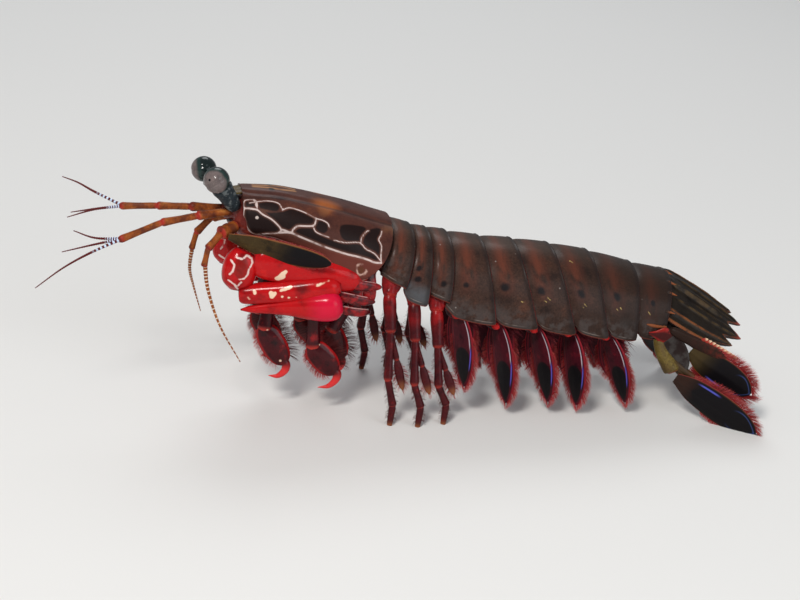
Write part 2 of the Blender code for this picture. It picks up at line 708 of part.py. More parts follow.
def build_grasper(name, joints, side, head, plates):
    """A thin arm with a round flat hand, edged with bristles, and a hooked claw."""
    root, knee, wrist, hand_end, claw_tip = (mirrored(p, side) for p in joints)
    across = Vector((0, 1, 0))
    along = (hand_end - wrist).normalized()
    broad = along.cross(across).normalized()
    arm = chain_rings([root, knee, wrist], ((1.2, 1.5), (1.25, 1.7)), across)
    hand = leaf_rings(wrist - along * 1.2, hand_end, 2.9, 2.0, broad)
    middle = between(hand_end, claw_tip, 0.5) + along * 1.6
    claw_path = [between(wrist, hand_end, 0.88), hand_end + along * 0.9, middle, claw_tip]
    claw = tube_rings(claw_path, [(0.75, 0.8), (0.7, 0.8), (0.5, 0.6), (0.2, 0.2)], across, 5)
    rings = [hand, arm, claw]
    for sign in (1, -1):
        for share in (0.25, 0.6):
            edge = between(wrist, hand_end, share) + broad * sign * 1.9
            out = (broad * sign + along * 0.4).normalized()
            rings.append(spike_rings(edge, edge + out * 2.3, 1.2, 0.3, along))
    grasper = fuse(f"{name}_{SIDE_NAMES[side]}", rings, LIMB)
    return seat(grasper, head, *plates)


def build_leg(index, side, plates):
    """A walking leg: three stout segments from the body, a long stilt to the floor and a thinner branch."""
    station = plate_station(index, 0.5)
    belly = station.belly_depth
    root = station.point(side * 8.0, belly - 1.6)
    hip = station.point(side * 11.2, belly + 4.2)
    fork = hip + Vector((0.3, side * 3.2, -8.2))
    foot = Vector((LEG_FEET[index], side * LEG_STANCE[index], 0.0))
    knee = fork.lerp(foot, 0.52) + Vector((-0.8, side * 1.0, 0.6))
    ankle = foot + Vector((0.5, side * -0.5, 5.0))
    across = Vector((1, 0, 0))
    stout = chain_rings([root, hip, fork], ((2.0, 1.7), (1.6, 1.4)), across)
    stilt = [between(fork, knee, s) for s in (-0.12, 0.1, 0.9)] + [knee.lerp(ankle, 0.12), ankle]
    sizes = [(0.8, 0.8), (1.15, 1.0), (1.0, 0.9), (0.95, 0.85), (0.8, 0.75)]
    rings = tube_rings(stilt, sizes, across, 6)
    rings.append([foot + Vector((math.cos(a), math.sin(a), 0)) * 0.75 for a in sole_angles(rings[-1], ankle)])
    branch_tip = foot.lerp(fork, 0.36) + Vector((3.4, side * -0.6, 0))
    branch = leaf_rings(fork.lerp(branch_tip, -0.08), branch_tip, 1.1, 0.9, across)
    leg = fuse(f"walking_leg_{index + 1}_{SIDE_NAMES[side]}", [stout, rings, branch], LIMB)
    return seat(leg, *plates)


def sole_angles(ring, centre):
    """The directions of a ring's points as seen from above, so that the flat sole doesn't twist."""
    first = ring[0] - centre
    second = ring[1] - centre
    start = math.atan2(first.y, first.x)
    turn = 1 if first.x * second.y - first.y * second.x > 0 else -1
    return [start + turn * 2 * math.pi * k / len(ring) for k in range(len(ring))]


# Each swimmeret: how far back its blades lean, and how high its outer tip stays over the floor.
SWIMMERETS = ((3.0, 8.0), (4.0, 3.4), (5.2, 3.6), (3.6, 2.6), (6.8, 3.2))


def build_swimmeret(index, side, plates):
    """A swimmeret: a broad root, two leaf blades with a fringe, and gill flaps behind."""
    station = plate_station(index + 3, 0.22)
    belly = station.belly_depth
    lean, height = SWIMMERETS[index]
    root = station.point(side * 7.6, belly - 1.6, station.sweep * -0.3)
    fork = root + Vector((lean * 0.25, side * 1.4, -6.6))
    outer_tip = Vector((root.x + lean * 1.1, side * 13.0, height))
    inner_tip = Vector((root.x + lean * 0.7, side * 5.4, height + 3.0))
    flat = Vector((0.5, side * 1.0, 0)).normalized()
    stem = chain_rings([root, fork], ((3.4, 1.9),), flat)
    outer_root = fork + Vector((0, side * 1.2, 1.6))
    inner_root = fork + Vector((0.4, side * -1.2, 1.6))
    outer = leaf_rings(outer_root, outer_tip, 3.9, 1.1, flat, 4)
    inner = leaf_rings(inner_root, inner_tip, 2.8, 1.1, flat, 4)
    rings = [stem, outer, inner]
    rings += fringe(outer_root, outer_tip, 3.9, flat, (2, 2), 1.8, 1.8, first=0.45)
    rings += fringe(inner_root, inner_tip, 2.8, flat, (0, 1), 1.6, 1.6, first=0.6)
    for k in (-1, 1):
        start = fork + Vector((0.3, side * k * 1.3, 1.6 - k * 0.5))
        tip = start + Vector((3.4, side * k * 0.6, -2.8))
        rings.append(spike_rings(start, tip, 0.9, 0.5, Vector((0, 1, 0))))
    swimmeret = fuse(f"swimmeret_{index + 1}_{SIDE_NAMES[side]}", rings, LIMB)
    return seat(swimmeret, *plates)


# Half width of the telson's plate along its length, and where its keels run across it.
TELSON_OUTLINE = ((0.0, 0.88), (0.1, 0.98), (0.4, 1.0), (0.6, 0.86), (0.76, 0.52))
TELSON_HALF_STEPS = 6
TELSON_KEELS = {0: 1.1, 2: 0.55, 4: 0.6, 6: 0.3}
# Teeth of the telson's margin: how far back each reaches, its place across and its breadth.
TELSON_TEETH = ((0.74, 0.93, 1.6), (0.9, 0.64, 1.9), (1.0, 0.27, 2.0))
TELSON_DOME = 3.4


def telson_station():
    """The telson's front end, with the turn and tilt of its plate."""
    last = plate_station(len(PLATES) - 1, 1.0)
    yaw, roll = (math.radians(a) for a in TELSON_TURN)
    pitch = math.radians(TELSON_PITCH)
    station = Station(last.ridge, pitch, TELSON_HALF_WIDTH, 0, 0, yaw, roll)
    station.ridge += last.back * 0.3 - last.up * TELSON_STEP
    return station


def telson_dome(share, away):
    """How far the telson's plate falls away from its middle, at a share of its length."""
    return TELSON_DOME * (1 - 0.55 * share) * away**2.2


def build_telson(last_plate):
    """The tail shield: a keeled plate with three pairs of strong teeth."""
    station = telson_station()
    builder = bmesh.new()
    rows = []
    steps = TELSON_HALF_STEPS
    for share, width in TELSON_OUTLINE:
        top, bottom = [], []
        for k in range(-steps, steps + 1):
            away = abs(k) / steps
            y = TELSON_HALF_WIDTH * width * k / steps
            keel = TELSON_KEELS.get(abs(k), 0.0) * min(1.0, 0.5 + 3 * share)
            back = share * TELSON_LENGTH
            dome = telson_dome(share, away)
            top.append(builder.verts.new(station.point(y, dome - keel, back)))
            low = dome + TELSON_THICKNESS * (1 - 0.4 * away)
            bottom.append(builder.verts.new(station.point(y * 0.97, low, back)))
        rows.append((top, bottom))
    for (top, bottom), (next_top, next_bottom) in zip(rows, rows[1:]):
        for k in range(2 * steps):
            builder.faces.new((top[k], top[k + 1], next_top[k + 1], next_top[k]))
            builder.faces.new((bottom[k + 1], bottom[k], next_bottom[k], next_bottom[k + 1]))
        for k in (0, 2 * steps):
            builder.faces.new((top[k], next_top[k], next_bottom[k], bottom[k]))
    for top, bottom in (rows[0], rows[-1]):
        for k in range(2 * steps):
            builder.faces.new((top[k], top[k + 1], bottom[k + 1], bottom[k]))
    telson = finish_mesh("telson", builder, SHELL)
    teeth = [telson_tooth(station, side, *tooth) for tooth in TELSON_TEETH for side in (LEFT, RIGHT)]
    apply_boolean(telson, "UNION", teeth)
    return seat(telson, last_plate)


def telson_tooth(station, side, share, place, breadth):
    """One strong tooth of the telson's margin, with its root sunk in the plate."""
    y = side * place * TELSON_HALF_WIDTH
    low = telson_dome(min(share, 0.76), place) + 0.7
    reach = share * TELSON_LENGTH
    root = station.point(y * 0.98, low, reach - 8.0)
    tip = station.point(y * (1.04 - 0.14 * place), low + 0.4, reach)
    shape = ((0.0, 0.9), (0.5, 1.0), (1.0, 0.14))
    path = [between(root, tip, s) for s, _ in shape]
    rings = tube_rings(path, [(breadth * s, 0.95 * s) for _, s in shape], station.side, 4)
    return skin("tooth", rings, SHELL)


def build_uropod(side, last_plate, telson):
    """One side of the tail fan: a stem with two spines, an inner blade, and an outer blade of two segments."""
    name = SIDE_NAMES[side]
    joints = FAN_JOINTS[side]
    root, end = (mirrored(p, side) for p in joints["stem"])
    across = Vector((0.3, side * 1.0, 0.2)).normalized()
    stem = chain_rings([root, end], ((3.2, 2.5),), across)
    spines = []
    for reach, spread, drop in STEM_SPINES:
        tip = end + Vector((reach, side * spread, -drop))
        spines.append(spike_rings(between(root, end, 0.7), tip, 1.5, 1.2, across))
    protopod = fuse(f"uropod_protopod_{name}", [stem] + spines, SHELL)

    flat = mirrored(FAN_FACING["inner"], side).normalized()
    inner_root, inner_tip = (mirrored(p, side) for p in joints["inner"])
    inner = leaf_rings(inner_root, inner_tip, 4.8, 1.1, flat)
    locks = fringe(inner_root, inner_tip, 4.8, flat, (4, 2), FRINGE_LENGTH * 0.8, 1.6, 0.3, 0.3)
    endopod = fuse(f"uropod_endopod_{name}", [inner] + locks, FAN)

    flat = mirrored(FAN_FACING["paddle"], side).normalized()
    outer_root, joint = (mirrored(p, side) for p in joints["outer"])
    along = (joint - outer_root).normalized()
    edge_out = (flat - along * flat.dot(along)).normalized()
    shape = ((0.0, 1.4, 1.2), (0.3, 2.2, 1.2), (0.85, 2.5, 1.0), (1.1, 1.4, 0.5))
    path = [between(outer_root, joint, s) for s, _, _ in shape]
    first = tube_rings(path, [(w, d) for _, w, d in shape], flat)
    paddle_root, tip = (mirrored(p, side) for p in joints["paddle"])
    rings = [first, leaf_rings(paddle_root, tip, 4.3, 1.1, flat)]
    for k in range(MOVABLE_SPINES):
        base = between(outer_root, joint, 0.45 + 0.55 * k / (MOVABLE_SPINES - 1)) + edge_out * 1.9
        aim = (along * 0.8 + edge_out * 0.62).normalized()
        rings.append(spike_rings(base, base + aim * (2.6 + 0.3 * k), 0.55, 0.5, across))
    rings += fringe(paddle_root, tip, 4.3, flat, (3, 5), FRINGE_LENGTH, 1.7, 0.3, 0.35)
    exopod = fuse(f"uropod_exopod_{name}", rings, FAN)
    seat(protopod, last_plate, telson)
    seat(exopod, protopod, last_plate, telson)
    seat(endopod, protopod, exopod)
    cut_at_floor(endopod)
    return protopod, exopod, endopod


def cut_at_floor(obj):
    """Cuts off whatever reaches below the floor, which leaves a flat to stand on."""
    builder = bmesh.new()
    bmesh.ops.create_cube(builder, size=60)
    for vertex in builder.verts:
        vertex.co += Vector((80, 0, -30))
    bmesh.ops.scale(builder, vec=(1, 3, 1), verts=builder.verts)
    apply_boolean(obj, "DIFFERENCE", [finish_mesh("floor", builder, FAN)])
    smooth(obj)


def build():
    """The whole animal."""
    plates = build_plates()
    carapace = build_carapace()
    head = build_head(plates["thorax_6"])
    rostral = build_rostral_plate()
    seat(rostral, carapace)
    thorax = [plates[name] for name, _, _ in PLATES[:3]]
    rear_plates = [plates[name] for name, _, _ in PLATES[2:]]
    telson = build_telson(plates["abdomen_6"])
    for side in (LEFT, RIGHT):
        _, stalk = build_eye(side, head, carapace, rostral)
        antennule = build_antennule(side, head, stalk)
        antenna = build_antenna(side, head, antennule)
        scale = build_antennal_scale(side, antenna, carapace, head)
        build_claw(side, head, carapace, scale)
        for name, joints in GRASPERS:
            build_grasper(name, joints, side, head, thorax[:1])
        for index in range(3):
            build_leg(index, side, thorax)
        for index in range(5):
            build_swimmeret(index, side, rear_plates[index : index + 3])
        build_uropod(side, plates["abdomen_6"], telson)


build()
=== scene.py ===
# %% [markdown]
# # A peacock mantis shrimp, dressed
#
# The packed model gives the animal's frame: where each plate, limb and feeler is. This lesson puts a finely
# shaped and coloured piece on each of them, in the same place, and adds bristles, gills, light and a camera.
# Sizes are in millimetres from the animal's middle plane, and turn into metres when a mesh is made.

# %% The frame
import math

import bpy
import numpy as np
from mathutils import Matrix, Vector


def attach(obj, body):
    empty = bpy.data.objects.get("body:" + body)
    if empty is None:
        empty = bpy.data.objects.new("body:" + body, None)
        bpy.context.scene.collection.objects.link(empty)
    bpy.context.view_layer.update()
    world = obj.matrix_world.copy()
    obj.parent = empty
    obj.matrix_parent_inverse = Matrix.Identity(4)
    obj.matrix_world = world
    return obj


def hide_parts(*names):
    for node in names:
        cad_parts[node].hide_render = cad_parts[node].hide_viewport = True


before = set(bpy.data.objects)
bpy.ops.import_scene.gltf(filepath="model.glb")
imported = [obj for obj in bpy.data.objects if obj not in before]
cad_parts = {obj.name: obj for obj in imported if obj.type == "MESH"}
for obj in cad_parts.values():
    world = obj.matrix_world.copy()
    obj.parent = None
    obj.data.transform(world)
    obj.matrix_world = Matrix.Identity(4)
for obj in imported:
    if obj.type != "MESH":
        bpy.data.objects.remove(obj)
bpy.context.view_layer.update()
MM = 0.001
CENTRE = np.array((0.79, -0.57, 0.0))
LEFT, RIGHT = -1, 1
SIDES = {LEFT: "left", RIGHT: "right"}
print("nodes in the frame:", len(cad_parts))

# %% [markdown]
# ## Curves through a few chosen places
#
# No limb or outline of an animal is straight. Typing each point would make it hard to change. So a few
# places are listed, and a smooth curve is read through them.

# %% Small sums
def vec(*numbers):
    return np.array(numbers, float)


ACROSS = vec(0, 1, 0)


def unit(v):
    return v / np.maximum(np.linalg.norm(v, axis=-1, keepdims=True), 1e-9)


def side_point(point, side):
    """A point given by its distance from the middle plane, on the left or the right."""
    return vec(point[0], side * point[1], point[2])


def sided(points, side):
    return [side_point(point, side) for point in points]


def mix(a, b, share):
    return np.asarray(a, float) * (1 - share) + np.asarray(b, float) * share


def through(rows, places):
    """Rows of numbers read at fractional places from the smooth curve through the given rows."""
    rows, places = np.asarray(rows, float), np.asarray(places, float)
    i = np.clip(places.astype(int), 0, len(rows) - 2)
    t = (places - i)[:, None]
    one, two = rows[i], rows[i + 1]
    before = np.where((i > 0)[:, None], rows[i - 1], 2 * one - two)
    after = np.where((i + 2 < len(rows))[:, None], rows[np.minimum(i + 2, len(rows) - 1)], 2 * two - one)
    curve = 2 * one + (two - before) * t + (2 * before - 5 * one + 4 * two - after) * t**2
    return 0.5 * (curve + (3 * one - before - 3 * two + after) * t**3)


def lookup(table, share):
    """The second number of a table of pairs, smoothed, at the given first number."""
    dense = through(table, np.linspace(0, len(table) - 1, 12 * len(table)))
    return np.interp(share, dense[:, 0], dense[:, 1])


print("half way along a bend:", lookup(((0.0, 0.0), (0.5, 1.0), (1.0, 0.0)), 0.25).round(2))

# %% [markdown]
# ## A tube whose rings are moved
#
# Shell, claw and feeler all grow as tubes. By hand one adds a cylinder, selects its long edges in Edit
# Mode, cuts them with Subdivide, and moves each new ring. Sculpting is freer, but leaves no even rings to
# measure along. So the cut cylinder is made once, kept, and every limb moves its rings.

# %% A cylinder cut into rings
def taken(obj):
    """The points and faces of a modelled object, which is then removed."""
    points = np.empty(3 * len(obj.data.vertices), np.float32)
    obj.data.vertices.foreach_get("co", points)
    faces = [tuple(face.vertices) for face in obj.data.polygons]
    bpy.data.objects.remove(obj)
    return points.reshape(-1, 3).astype(float), faces


TUBES = {}
MOST_BANDS = 101  # Subdivide makes no more of one edge at once


def cut_long_edges(obj, bands):
    """Selects the edges that run along a tube, and cuts each into equal bands."""
    bpy.ops.object.mode_set(mode="EDIT")
    bpy.ops.mesh.select_mode(type="EDGE")
    bpy.ops.mesh.select_all(action="DESELECT")
    bpy.ops.object.mode_set(mode="OBJECT")
    for edge in obj.data.edges:
        low, high = (obj.data.vertices[i].co.z for i in edge.vertices)
        edge.select = abs(high - low) > 0.001
    bpy.ops.object.mode_set(mode="EDIT")
    bpy.ops.mesh.subdivide(number_cuts=bands - 1)
    bpy.ops.object.mode_set(mode="OBJECT")


def tube(rows, sides, ends="TRIFAN"):
    """A cylinder cut into rings by Subdivide: its faces, and each point's ring and place in the ring."""
    if (rows, sides, ends) not in TUBES:
        bpy.ops.object.select_all(action="DESELECT")
        bpy.ops.mesh.primitive_cylinder_add(vertices=sides, radius=1, depth=1, end_fill_type=ends)
        obj = bpy.context.object
        bands = rows - 1
        second = next(n for n in range(1, rows) if bands % n == 0 and bands // n <= MOST_BANDS)
        cut_long_edges(obj, bands // second)
        if second > 1:
            cut_long_edges(obj, second)
        points, faces = taken(obj)
        ring = np.rint((points[:, 2] + 0.5) * (rows - 1)).astype(int)
        place = np.rint(np.arctan2(-points[:, 0], points[:, 1]) / (2 * math.pi) * sides).astype(int) % sides
        middle = np.hypot(points[:, 0], points[:, 1]) < 0.5
        TUBES[rows, sides, ends] = faces, ring, place, middle
    return TUBES[rows, sides, ends]


print("points of a tube of 8 rings:", len(tube(8, 12)[1]))

# %% [markdown]
# ## Solid and hollow forms
#
# A limb is solid, and a plate of the back is a thin curved wall. Solidify gives a wall one even thickness,
# but a real plate is thin at its edge. So each ring runs out along the outside and back along the inside.

# %% Forms from rings
def loft(rings):
    """A closed form: a tube moved to the given rings, and each point's share of the way along it."""
    rows, columns = rings.shape[:2]
    faces, ring, place, middle = tube(rows, columns)
    points = rings[ring, place]
    points[middle] = rings[ring[middle]].mean(1)
    return points, faces, ring / (rows - 1)


def shell(rings, **marks):
    """A thin wall: an open tube moved to rings, with its ends closed between the two sides."""
    rows, columns = rings.shape[:2]
    faces, ring, place, _ = tube(rows, columns, "NOTHING")
    index = np.empty((rows, columns), int)
    index[ring, place] = np.arange(len(ring))
    rims = [(k, k + 1, columns - 2 - k, columns - 1 - k) for k in range(columns // 2 - 1)]
    faces = faces + [tuple(index[row, list(rim)]) for row in (0, rows - 1) for rim in rims]
    marks = {key: values[ring, place] for key, values in marks.items()}
    return (rings[ring, place], faces, ring / (rows - 1)), marks


def directions(path, side):
    """Unit vectors along, across and up at each point of a path."""
    along = unit(np.gradient(path, axis=0))
    across = unit(side - along * (along @ side)[:, None])
    return along, across, np.cross(along, across)


def sweep(points, sizes, side, rows=22, sides=20, power=2.0):
    """Rings along a smooth curve through points. Sizes are (half width along side, half depth)."""
    table = np.hstack([np.asarray(points, float), np.asarray(sizes, float)])
    table = through(table, np.linspace(0, len(table) - 1, rows))
    path, size = table[:, :3], np.maximum(table[:, 3:], 0.02)
    _, across, up = directions(path, np.asarray(side, float))
    angle = np.linspace(0, 2 * math.pi, sides, endpoint=False)
    c = np.sign(np.cos(angle)) * np.abs(np.cos(angle)) ** (2 / power)
    s = np.sign(np.sin(angle)) * np.abs(np.sin(angle)) ** (2 / power)
    wide = across[:, None] * (size[:, 0, None] * c)[..., None]
    deep = up[:, None] * (size[:, 1, None] * s)[..., None]
    return path[:, None] + wide + deep


print("points of a straight rod:", len(loft(sweep([(0, 0, 0), (9, 0, 0)], [(1, 1), (1, 1)], ACROSS))[0]))

# %% [markdown]
# ## One piece from several forms
#
# A foot is hard tubes in soft skin. A Boolean would merge them but tear thin skins, so they run into each
# other in one mesh. Each point keeps named numbers, which Blender calls attributes, such as its share of
# the way along, and the materials read them.

# %% Pieces
SHARP = math.radians(60)
FINISH = {}


def turn_faces_out(obj):
    """Makes every face look outwards."""
    bpy.ops.object.select_all(action="DESELECT")
    bpy.context.view_layer.objects.active = obj
    obj.select_set(True)
    bpy.ops.object.mode_set(mode="EDIT")
    bpy.ops.mesh.select_all(action="SELECT")
    bpy.ops.mesh.normals_make_consistent(inside=False)
    bpy.ops.object.mode_set(mode="OBJECT")


class Heap:
    """Collects closed forms and the numbers on their points, and makes one mesh of them."""

    def __init__(self):
        self.points, self.faces, self.marks, self.count = [], [], [], 0

    def add(self, form, **marks):
        points, faces, along = form
        self.points.append(points)
        self.faces += [tuple(i + self.count for i in face) for face in faces]
        marks.setdefault("along", along)
        self.marks.append((self.count, len(points), marks))
        self.count += len(points)

    def show(self, name, look, slot, *nodes, uv=None):
        """Makes the object, gives it its finish, hides the parts of the frame it stands for, and hangs it on
        the root.
        """
        mesh = bpy.data.meshes.new(name)
        points = (np.concatenate(self.points) - CENTRE) * MM
        points[:, 2] = np.maximum(points[:, 2], 0.0)
        mesh.from_pydata(points.tolist(), [], self.faces)
        for key in sorted({k for _, _, marks in self.marks for k in marks}):
            values = np.zeros(self.count, np.float32)
            for start, count, marks in self.marks:
                values[start : start + count] = marks.get(key, 0.0)
            mesh.attributes.new(key, "FLOAT", "POINT").data.foreach_set("value", values)
        if uv is not None:
            corner = np.zeros(len(mesh.loops), np.int32)
            mesh.loops.foreach_get("vertex_index", corner)
            layer = mesh.uv_layers.new(name="OFBake")
            layer.data.foreach_set("uv", uv[corner].astype(np.float32).ravel())
        mesh.materials.append(FINISH[look])
        mesh.shade_smooth()
        mesh.set_sharp_from_angle(angle=SHARP)
        obj = bpy.data.objects.new(name, mesh)
        bpy.context.scene.collection.objects.link(obj)
        turn_faces_out(obj)
        if nodes:
            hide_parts(*nodes)
        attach(obj, "root")
        print(f"{name}: {self.count} points, {len(self.faces)} faces")


def show_pair(build, name, look, slot, node):
    """Shows a piece for the left and one for the right side."""
    for side, where in SIDES.items():
        build(side).show(f"{name}_{where}", look, slot, f"{node}_{where}")


print("sides:", ", ".join(SIDES.values()))

# %% [markdown]
# ## Painting with nodes
#
# A shell's colour lies in layers: clouds, blotches, spots, lines. An image on a UV map would blur close up.
# Here each layer is a mask, from noise or from a distance on the points, and one mix lays its colour over
# the tone so far.

# %% Helpers for nodes
class Look:
    """Adds nodes to a tree. Every step gives back its output, and paint lays a layer over the tone so far."""

    def __init__(self, tree):
        self.tree = tree
        self.tone = self.rough = self.height = None

    def node(self, kind, output=0, settings=None, **values):
        node = self.tree.nodes.new("ShaderNode" + kind)
        for key, value in (settings or {}).items():
            setattr(node, key, value)
        for key, value in values.items():
            numbered = key[0] == "i" and key[1:].isdigit()
            self.put(node.inputs[int(key[1:]) if numbered else key], value)
        return node.outputs[output]

    def put(self, socket, value):
        if isinstance(value, bpy.types.NodeSocket):
            self.tree.links.new(value, socket)
        elif isinstance(value, tuple) and len(value) == 3 and socket.type == "RGBA":
            socket.default_value = (*value, 1)
        else:
            socket.default_value = value

    def mark(self, name):
        return self.node("Attribute", 2, {"attribute_name": name})

    def marks(self, *names):
        return [self.mark(name) for name in names]

    def place(self):
        return self.node("TexCoord", 3)

    def maths(self, operation, first, second=0.0):
        return self.node("Math", 0, {"operation": operation}, i0=first, i1=second)

    def times(self, first, second):
        return self.maths("MULTIPLY", first, second)

    def plus(self, first, second):
        return self.maths("ADD", first, second)

    def minus(self, first, second):
        return self.maths("SUBTRACT", first, second)

    def absolute(self, value):
        return self.maths("ABSOLUTE", value)

    def apart(self, first, second):
        return self.absolute(self.minus(first, second))

    def step(self, value, low, high):
        """0 at low, 1 at high, with soft ends."""
        values = {"i0": value, "i1": low, "i2": high, "i3": 0.0, "i4": 1.0}
        return self.node("MapRange", 0, {"interpolation_type": "SMOOTHSTEP"}, **values)

    def both(self, *masks):
        result = masks[0]
        for mask in masks[1:]:
            result = self.times(result, mask)
        return result

    def band(self, value, middle, half, soft):
        """1 within half of the middle, 0 outside."""
        return self.step(self.apart(value, middle), half + soft, half - soft)

    def mix(self, share, first, second, blend="MIX"):
        settings = {"data_type": "RGBA", "blend_type": blend}
        return self.node("Mix", 2, settings, i0=share, i6=first, i7=second)

    def paint(self, label, colour, *masks):
        """Lays a colour over the tone where all the masks are 1."""
        self.tone = self.mix(self.both(*masks), self.tone, colour)
        self.tone.node.label = label

    def noise(self, size, detail=3.0, rough=0.55):
        """Even noise; size in millimetres."""
        values = {"Vector": self.place(), "Scale": 1 / (size * MM), "Detail": detail, "Roughness": rough}
        return self.node("TexNoise", 0, **values)

    def patches(self, size, detail, low, high):
        """Noise cut into patches with soft ends."""
        return self.step(self.noise(size, detail), low, high)

    def cells(self, size):
        return self.node("TexVoronoi", Vector=self.place(), Scale=1 / (size * MM))


print("node helpers:", len(vars(Look)))

# %% [markdown]
# ## The skin that every hard part shares
#
# Under a clear outer layer the shell is cloudy, finely pitted and unevenly glossy. A flat colour would look
# like plastic. One node group makes clouds, pits and gloss, so that what is the same everywhere is changed
# in one place.

# %% The shared skin
def make_group(name, inputs, outputs):
    tree = bpy.data.node_groups.new(name, "ShaderNodeTree")
    for way, sockets in (("INPUT", inputs), ("OUTPUT", outputs)):
        for label, kind in sockets.items():
            tree.interface.new_socket(label, in_out=way, socket_type="NodeSocket" + kind)
    return tree, tree.nodes.new("NodeGroupInput"), tree.nodes.new("NodeGroupOutput")


def hard_skin_group():
    """Clouds of two tones, fine pits, faint wrinkles and uneven gloss."""
    inputs = {"Colour": "Color", "Shade": "Color", "Glow": "Color", "Clouds": "Float", "Gloss": "Float",
              "Grain": "Float"}
    outputs = {"Colour": "Color", "Roughness": "Float", "Height": "Float"}
    tree, given, result = make_group("hard_skin", inputs, outputs)
    look = Look(tree)
    clouds = look.node("TexNoise", 0, Vector=look.place(), Scale=given.outputs["Clouds"], Detail=5.0,
                       Roughness=0.62)
    fine = look.noise(0.5, 3)
    pits = look.step(look.cells(0.62), 0.12, 0.34)
    colour = look.mix(look.step(clouds, 0.5, 0.72), given.outputs["Colour"], given.outputs["Shade"])
    colour = look.mix(look.step(clouds, 0.46, 0.26), colour, given.outputs["Glow"])
    speckle = look.mix(look.step(fine, 0.3, 0.7), (0.72, 0.7, 0.7), (1.22, 1.22, 1.22))
    colour = look.mix(given.outputs["Grain"], colour, speckle, "MULTIPLY")
    dark_pits = look.both(look.minus(1.0, pits), 0.5, given.outputs["Grain"])
    colour = look.mix(dark_pits, colour, (0.01, 0.006, 0.006))
    look.put(result.inputs["Colour"], colour)
    rough = look.plus(given.outputs["Gloss"], look.times(look.minus(clouds, 0.5), 0.45))
    look.put(result.inputs["Roughness"], look.plus(rough, look.times(fine, 0.08)))
    height = look.plus(look.both(pits, 0.6, given.outputs["Grain"]), look.times(look.noise(1.3, 4), 1.1))
    look.put(result.inputs["Height"], look.plus(height, look.times(fine, 0.35)))
    return tree


HARD_SKIN = hard_skin_group()
print("nodes in the shared skin:", len(HARD_SKIN.nodes))

# %% [markdown]
# ## One finish
#
# A finish is the shared skin, the layers over it and one Principled shader. The animal is wet. A second
# shader could say so, but the coat of the same one needs two numbers.

# %% A finish
CLEAR = {"Coat_Weight": 0.07, "Coat_Roughness": 0.2}
WET = {"Coat_Weight": 0.35, "Coat_Roughness": 0.12}
DARK, PALE, BLACK = (0.012, 0.008, 0.008), (0.72, 0.60, 0.52), (0.006, 0.005, 0.006)
BUMP_STRENGTH, SHEEN = 0.55, 0.1


def finish(name, colour, shade, glow, clouds, gloss, pattern=None, bump=0.05, grain=0.8, **sockets):
    """A material: the shared skin, a pattern laid over it, and the surface's even values."""
    material = FINISH[name] = bpy.data.materials.new(f"{name}_look")
    material.use_nodes = True
    look, shader = Look(material.node_tree), material.node_tree.nodes["Principled BSDF"]
    group = material.node_tree.nodes.new("ShaderNodeGroup")
    group.node_tree = HARD_SKIN
    values = {"Colour": colour, "Shade": shade, "Glow": glow, "Clouds": 1 / (clouds * MM), "Gloss": gloss,
              "Grain": grain}
    for label, value in values.items():
        look.put(group.inputs[label], value)
    look.tone, look.rough, look.height = (group.outputs[k] for k in range(3))
    if pattern:
        pattern(look)
    look.put(shader.inputs["Base Color"], look.tone)
    look.put(shader.inputs["Roughness"], look.rough)
    bumps = look.node("Bump", 0, Height=look.height, Strength=BUMP_STRENGTH, Distance=bump * MM)
    look.put(shader.inputs["Normal"], bumps)
    for label, value in {"Specular_IOR_Level": SHEEN, **sockets}.items():
        shader.inputs[label.replace("_", " ")].default_value = value
    print(f"{name} finish: {len(material.node_tree.nodes)} nodes")


# %% [markdown]
# ## The back: where the plates meet
#
# Behind the head shield come nine plates, like the hoops of a barrel. A chain of cylinders is quick, but a
# real back sinks, narrows and turns to the tail. So the seams are the driving sizes, and a cross-section is
# worked out for any place between two of them.

# %% Seams and flaps
BOUNDARIES = (  # x and height of the ridge, half width, belly depth, sweep of the seam
    (-4.3, 47.3, 11.9, 10.8, 0.5),
    (1.4, 45.4, 12.6, 11.6, 0.6),
    (5.7, 44.5, 13.0, 12.0, 1.4),
    (10.9, 43.7, 13.4, 13.0, 0.9),
    (19.5, 42.5, 13.9, 15.0, 4.3),
    (28.2, 41.8, 14.2, 15.2, 6.2),
    (38.0, 40.7, 14.2, 15.0, 7.4),
    (48.6, 38.8, 14.0, 14.0, 7.8),
    (60.6, 35.5, 13.0, 12.2, 4.5),
    (70.4, 33.0, 11.6, 9.8, 1.8),
)
TURN = {7: (1, 1), 8: (3, 4), 9: (6, 10)}
PLATES = (  # name, depth of the side flap in front and behind
    ("thorax_6", 11.8, 12.4),
    ("thorax_7", 15.2, 16.0),
    ("thorax_8", 12.2, 12.6),
    ("abdomen_1", 17.4, 18.3),
    ("abdomen_2", 18.0, 18.4),
    ("abdomen_3", 18.2, 18.4),
    ("abdomen_4", 17.6, 17.2),
    ("abdomen_5", 16.4, 15.2),
    ("abdomen_6", 14.0, 12.6),
)


# %% A cross-section
ARCH_POWER = 2.35
FLAP_THICKNESS = 1.0
SWEEP_DEPTH = 18.0
GROOVE_AT, GROOVE_DEPTH = 0.42, 0.35


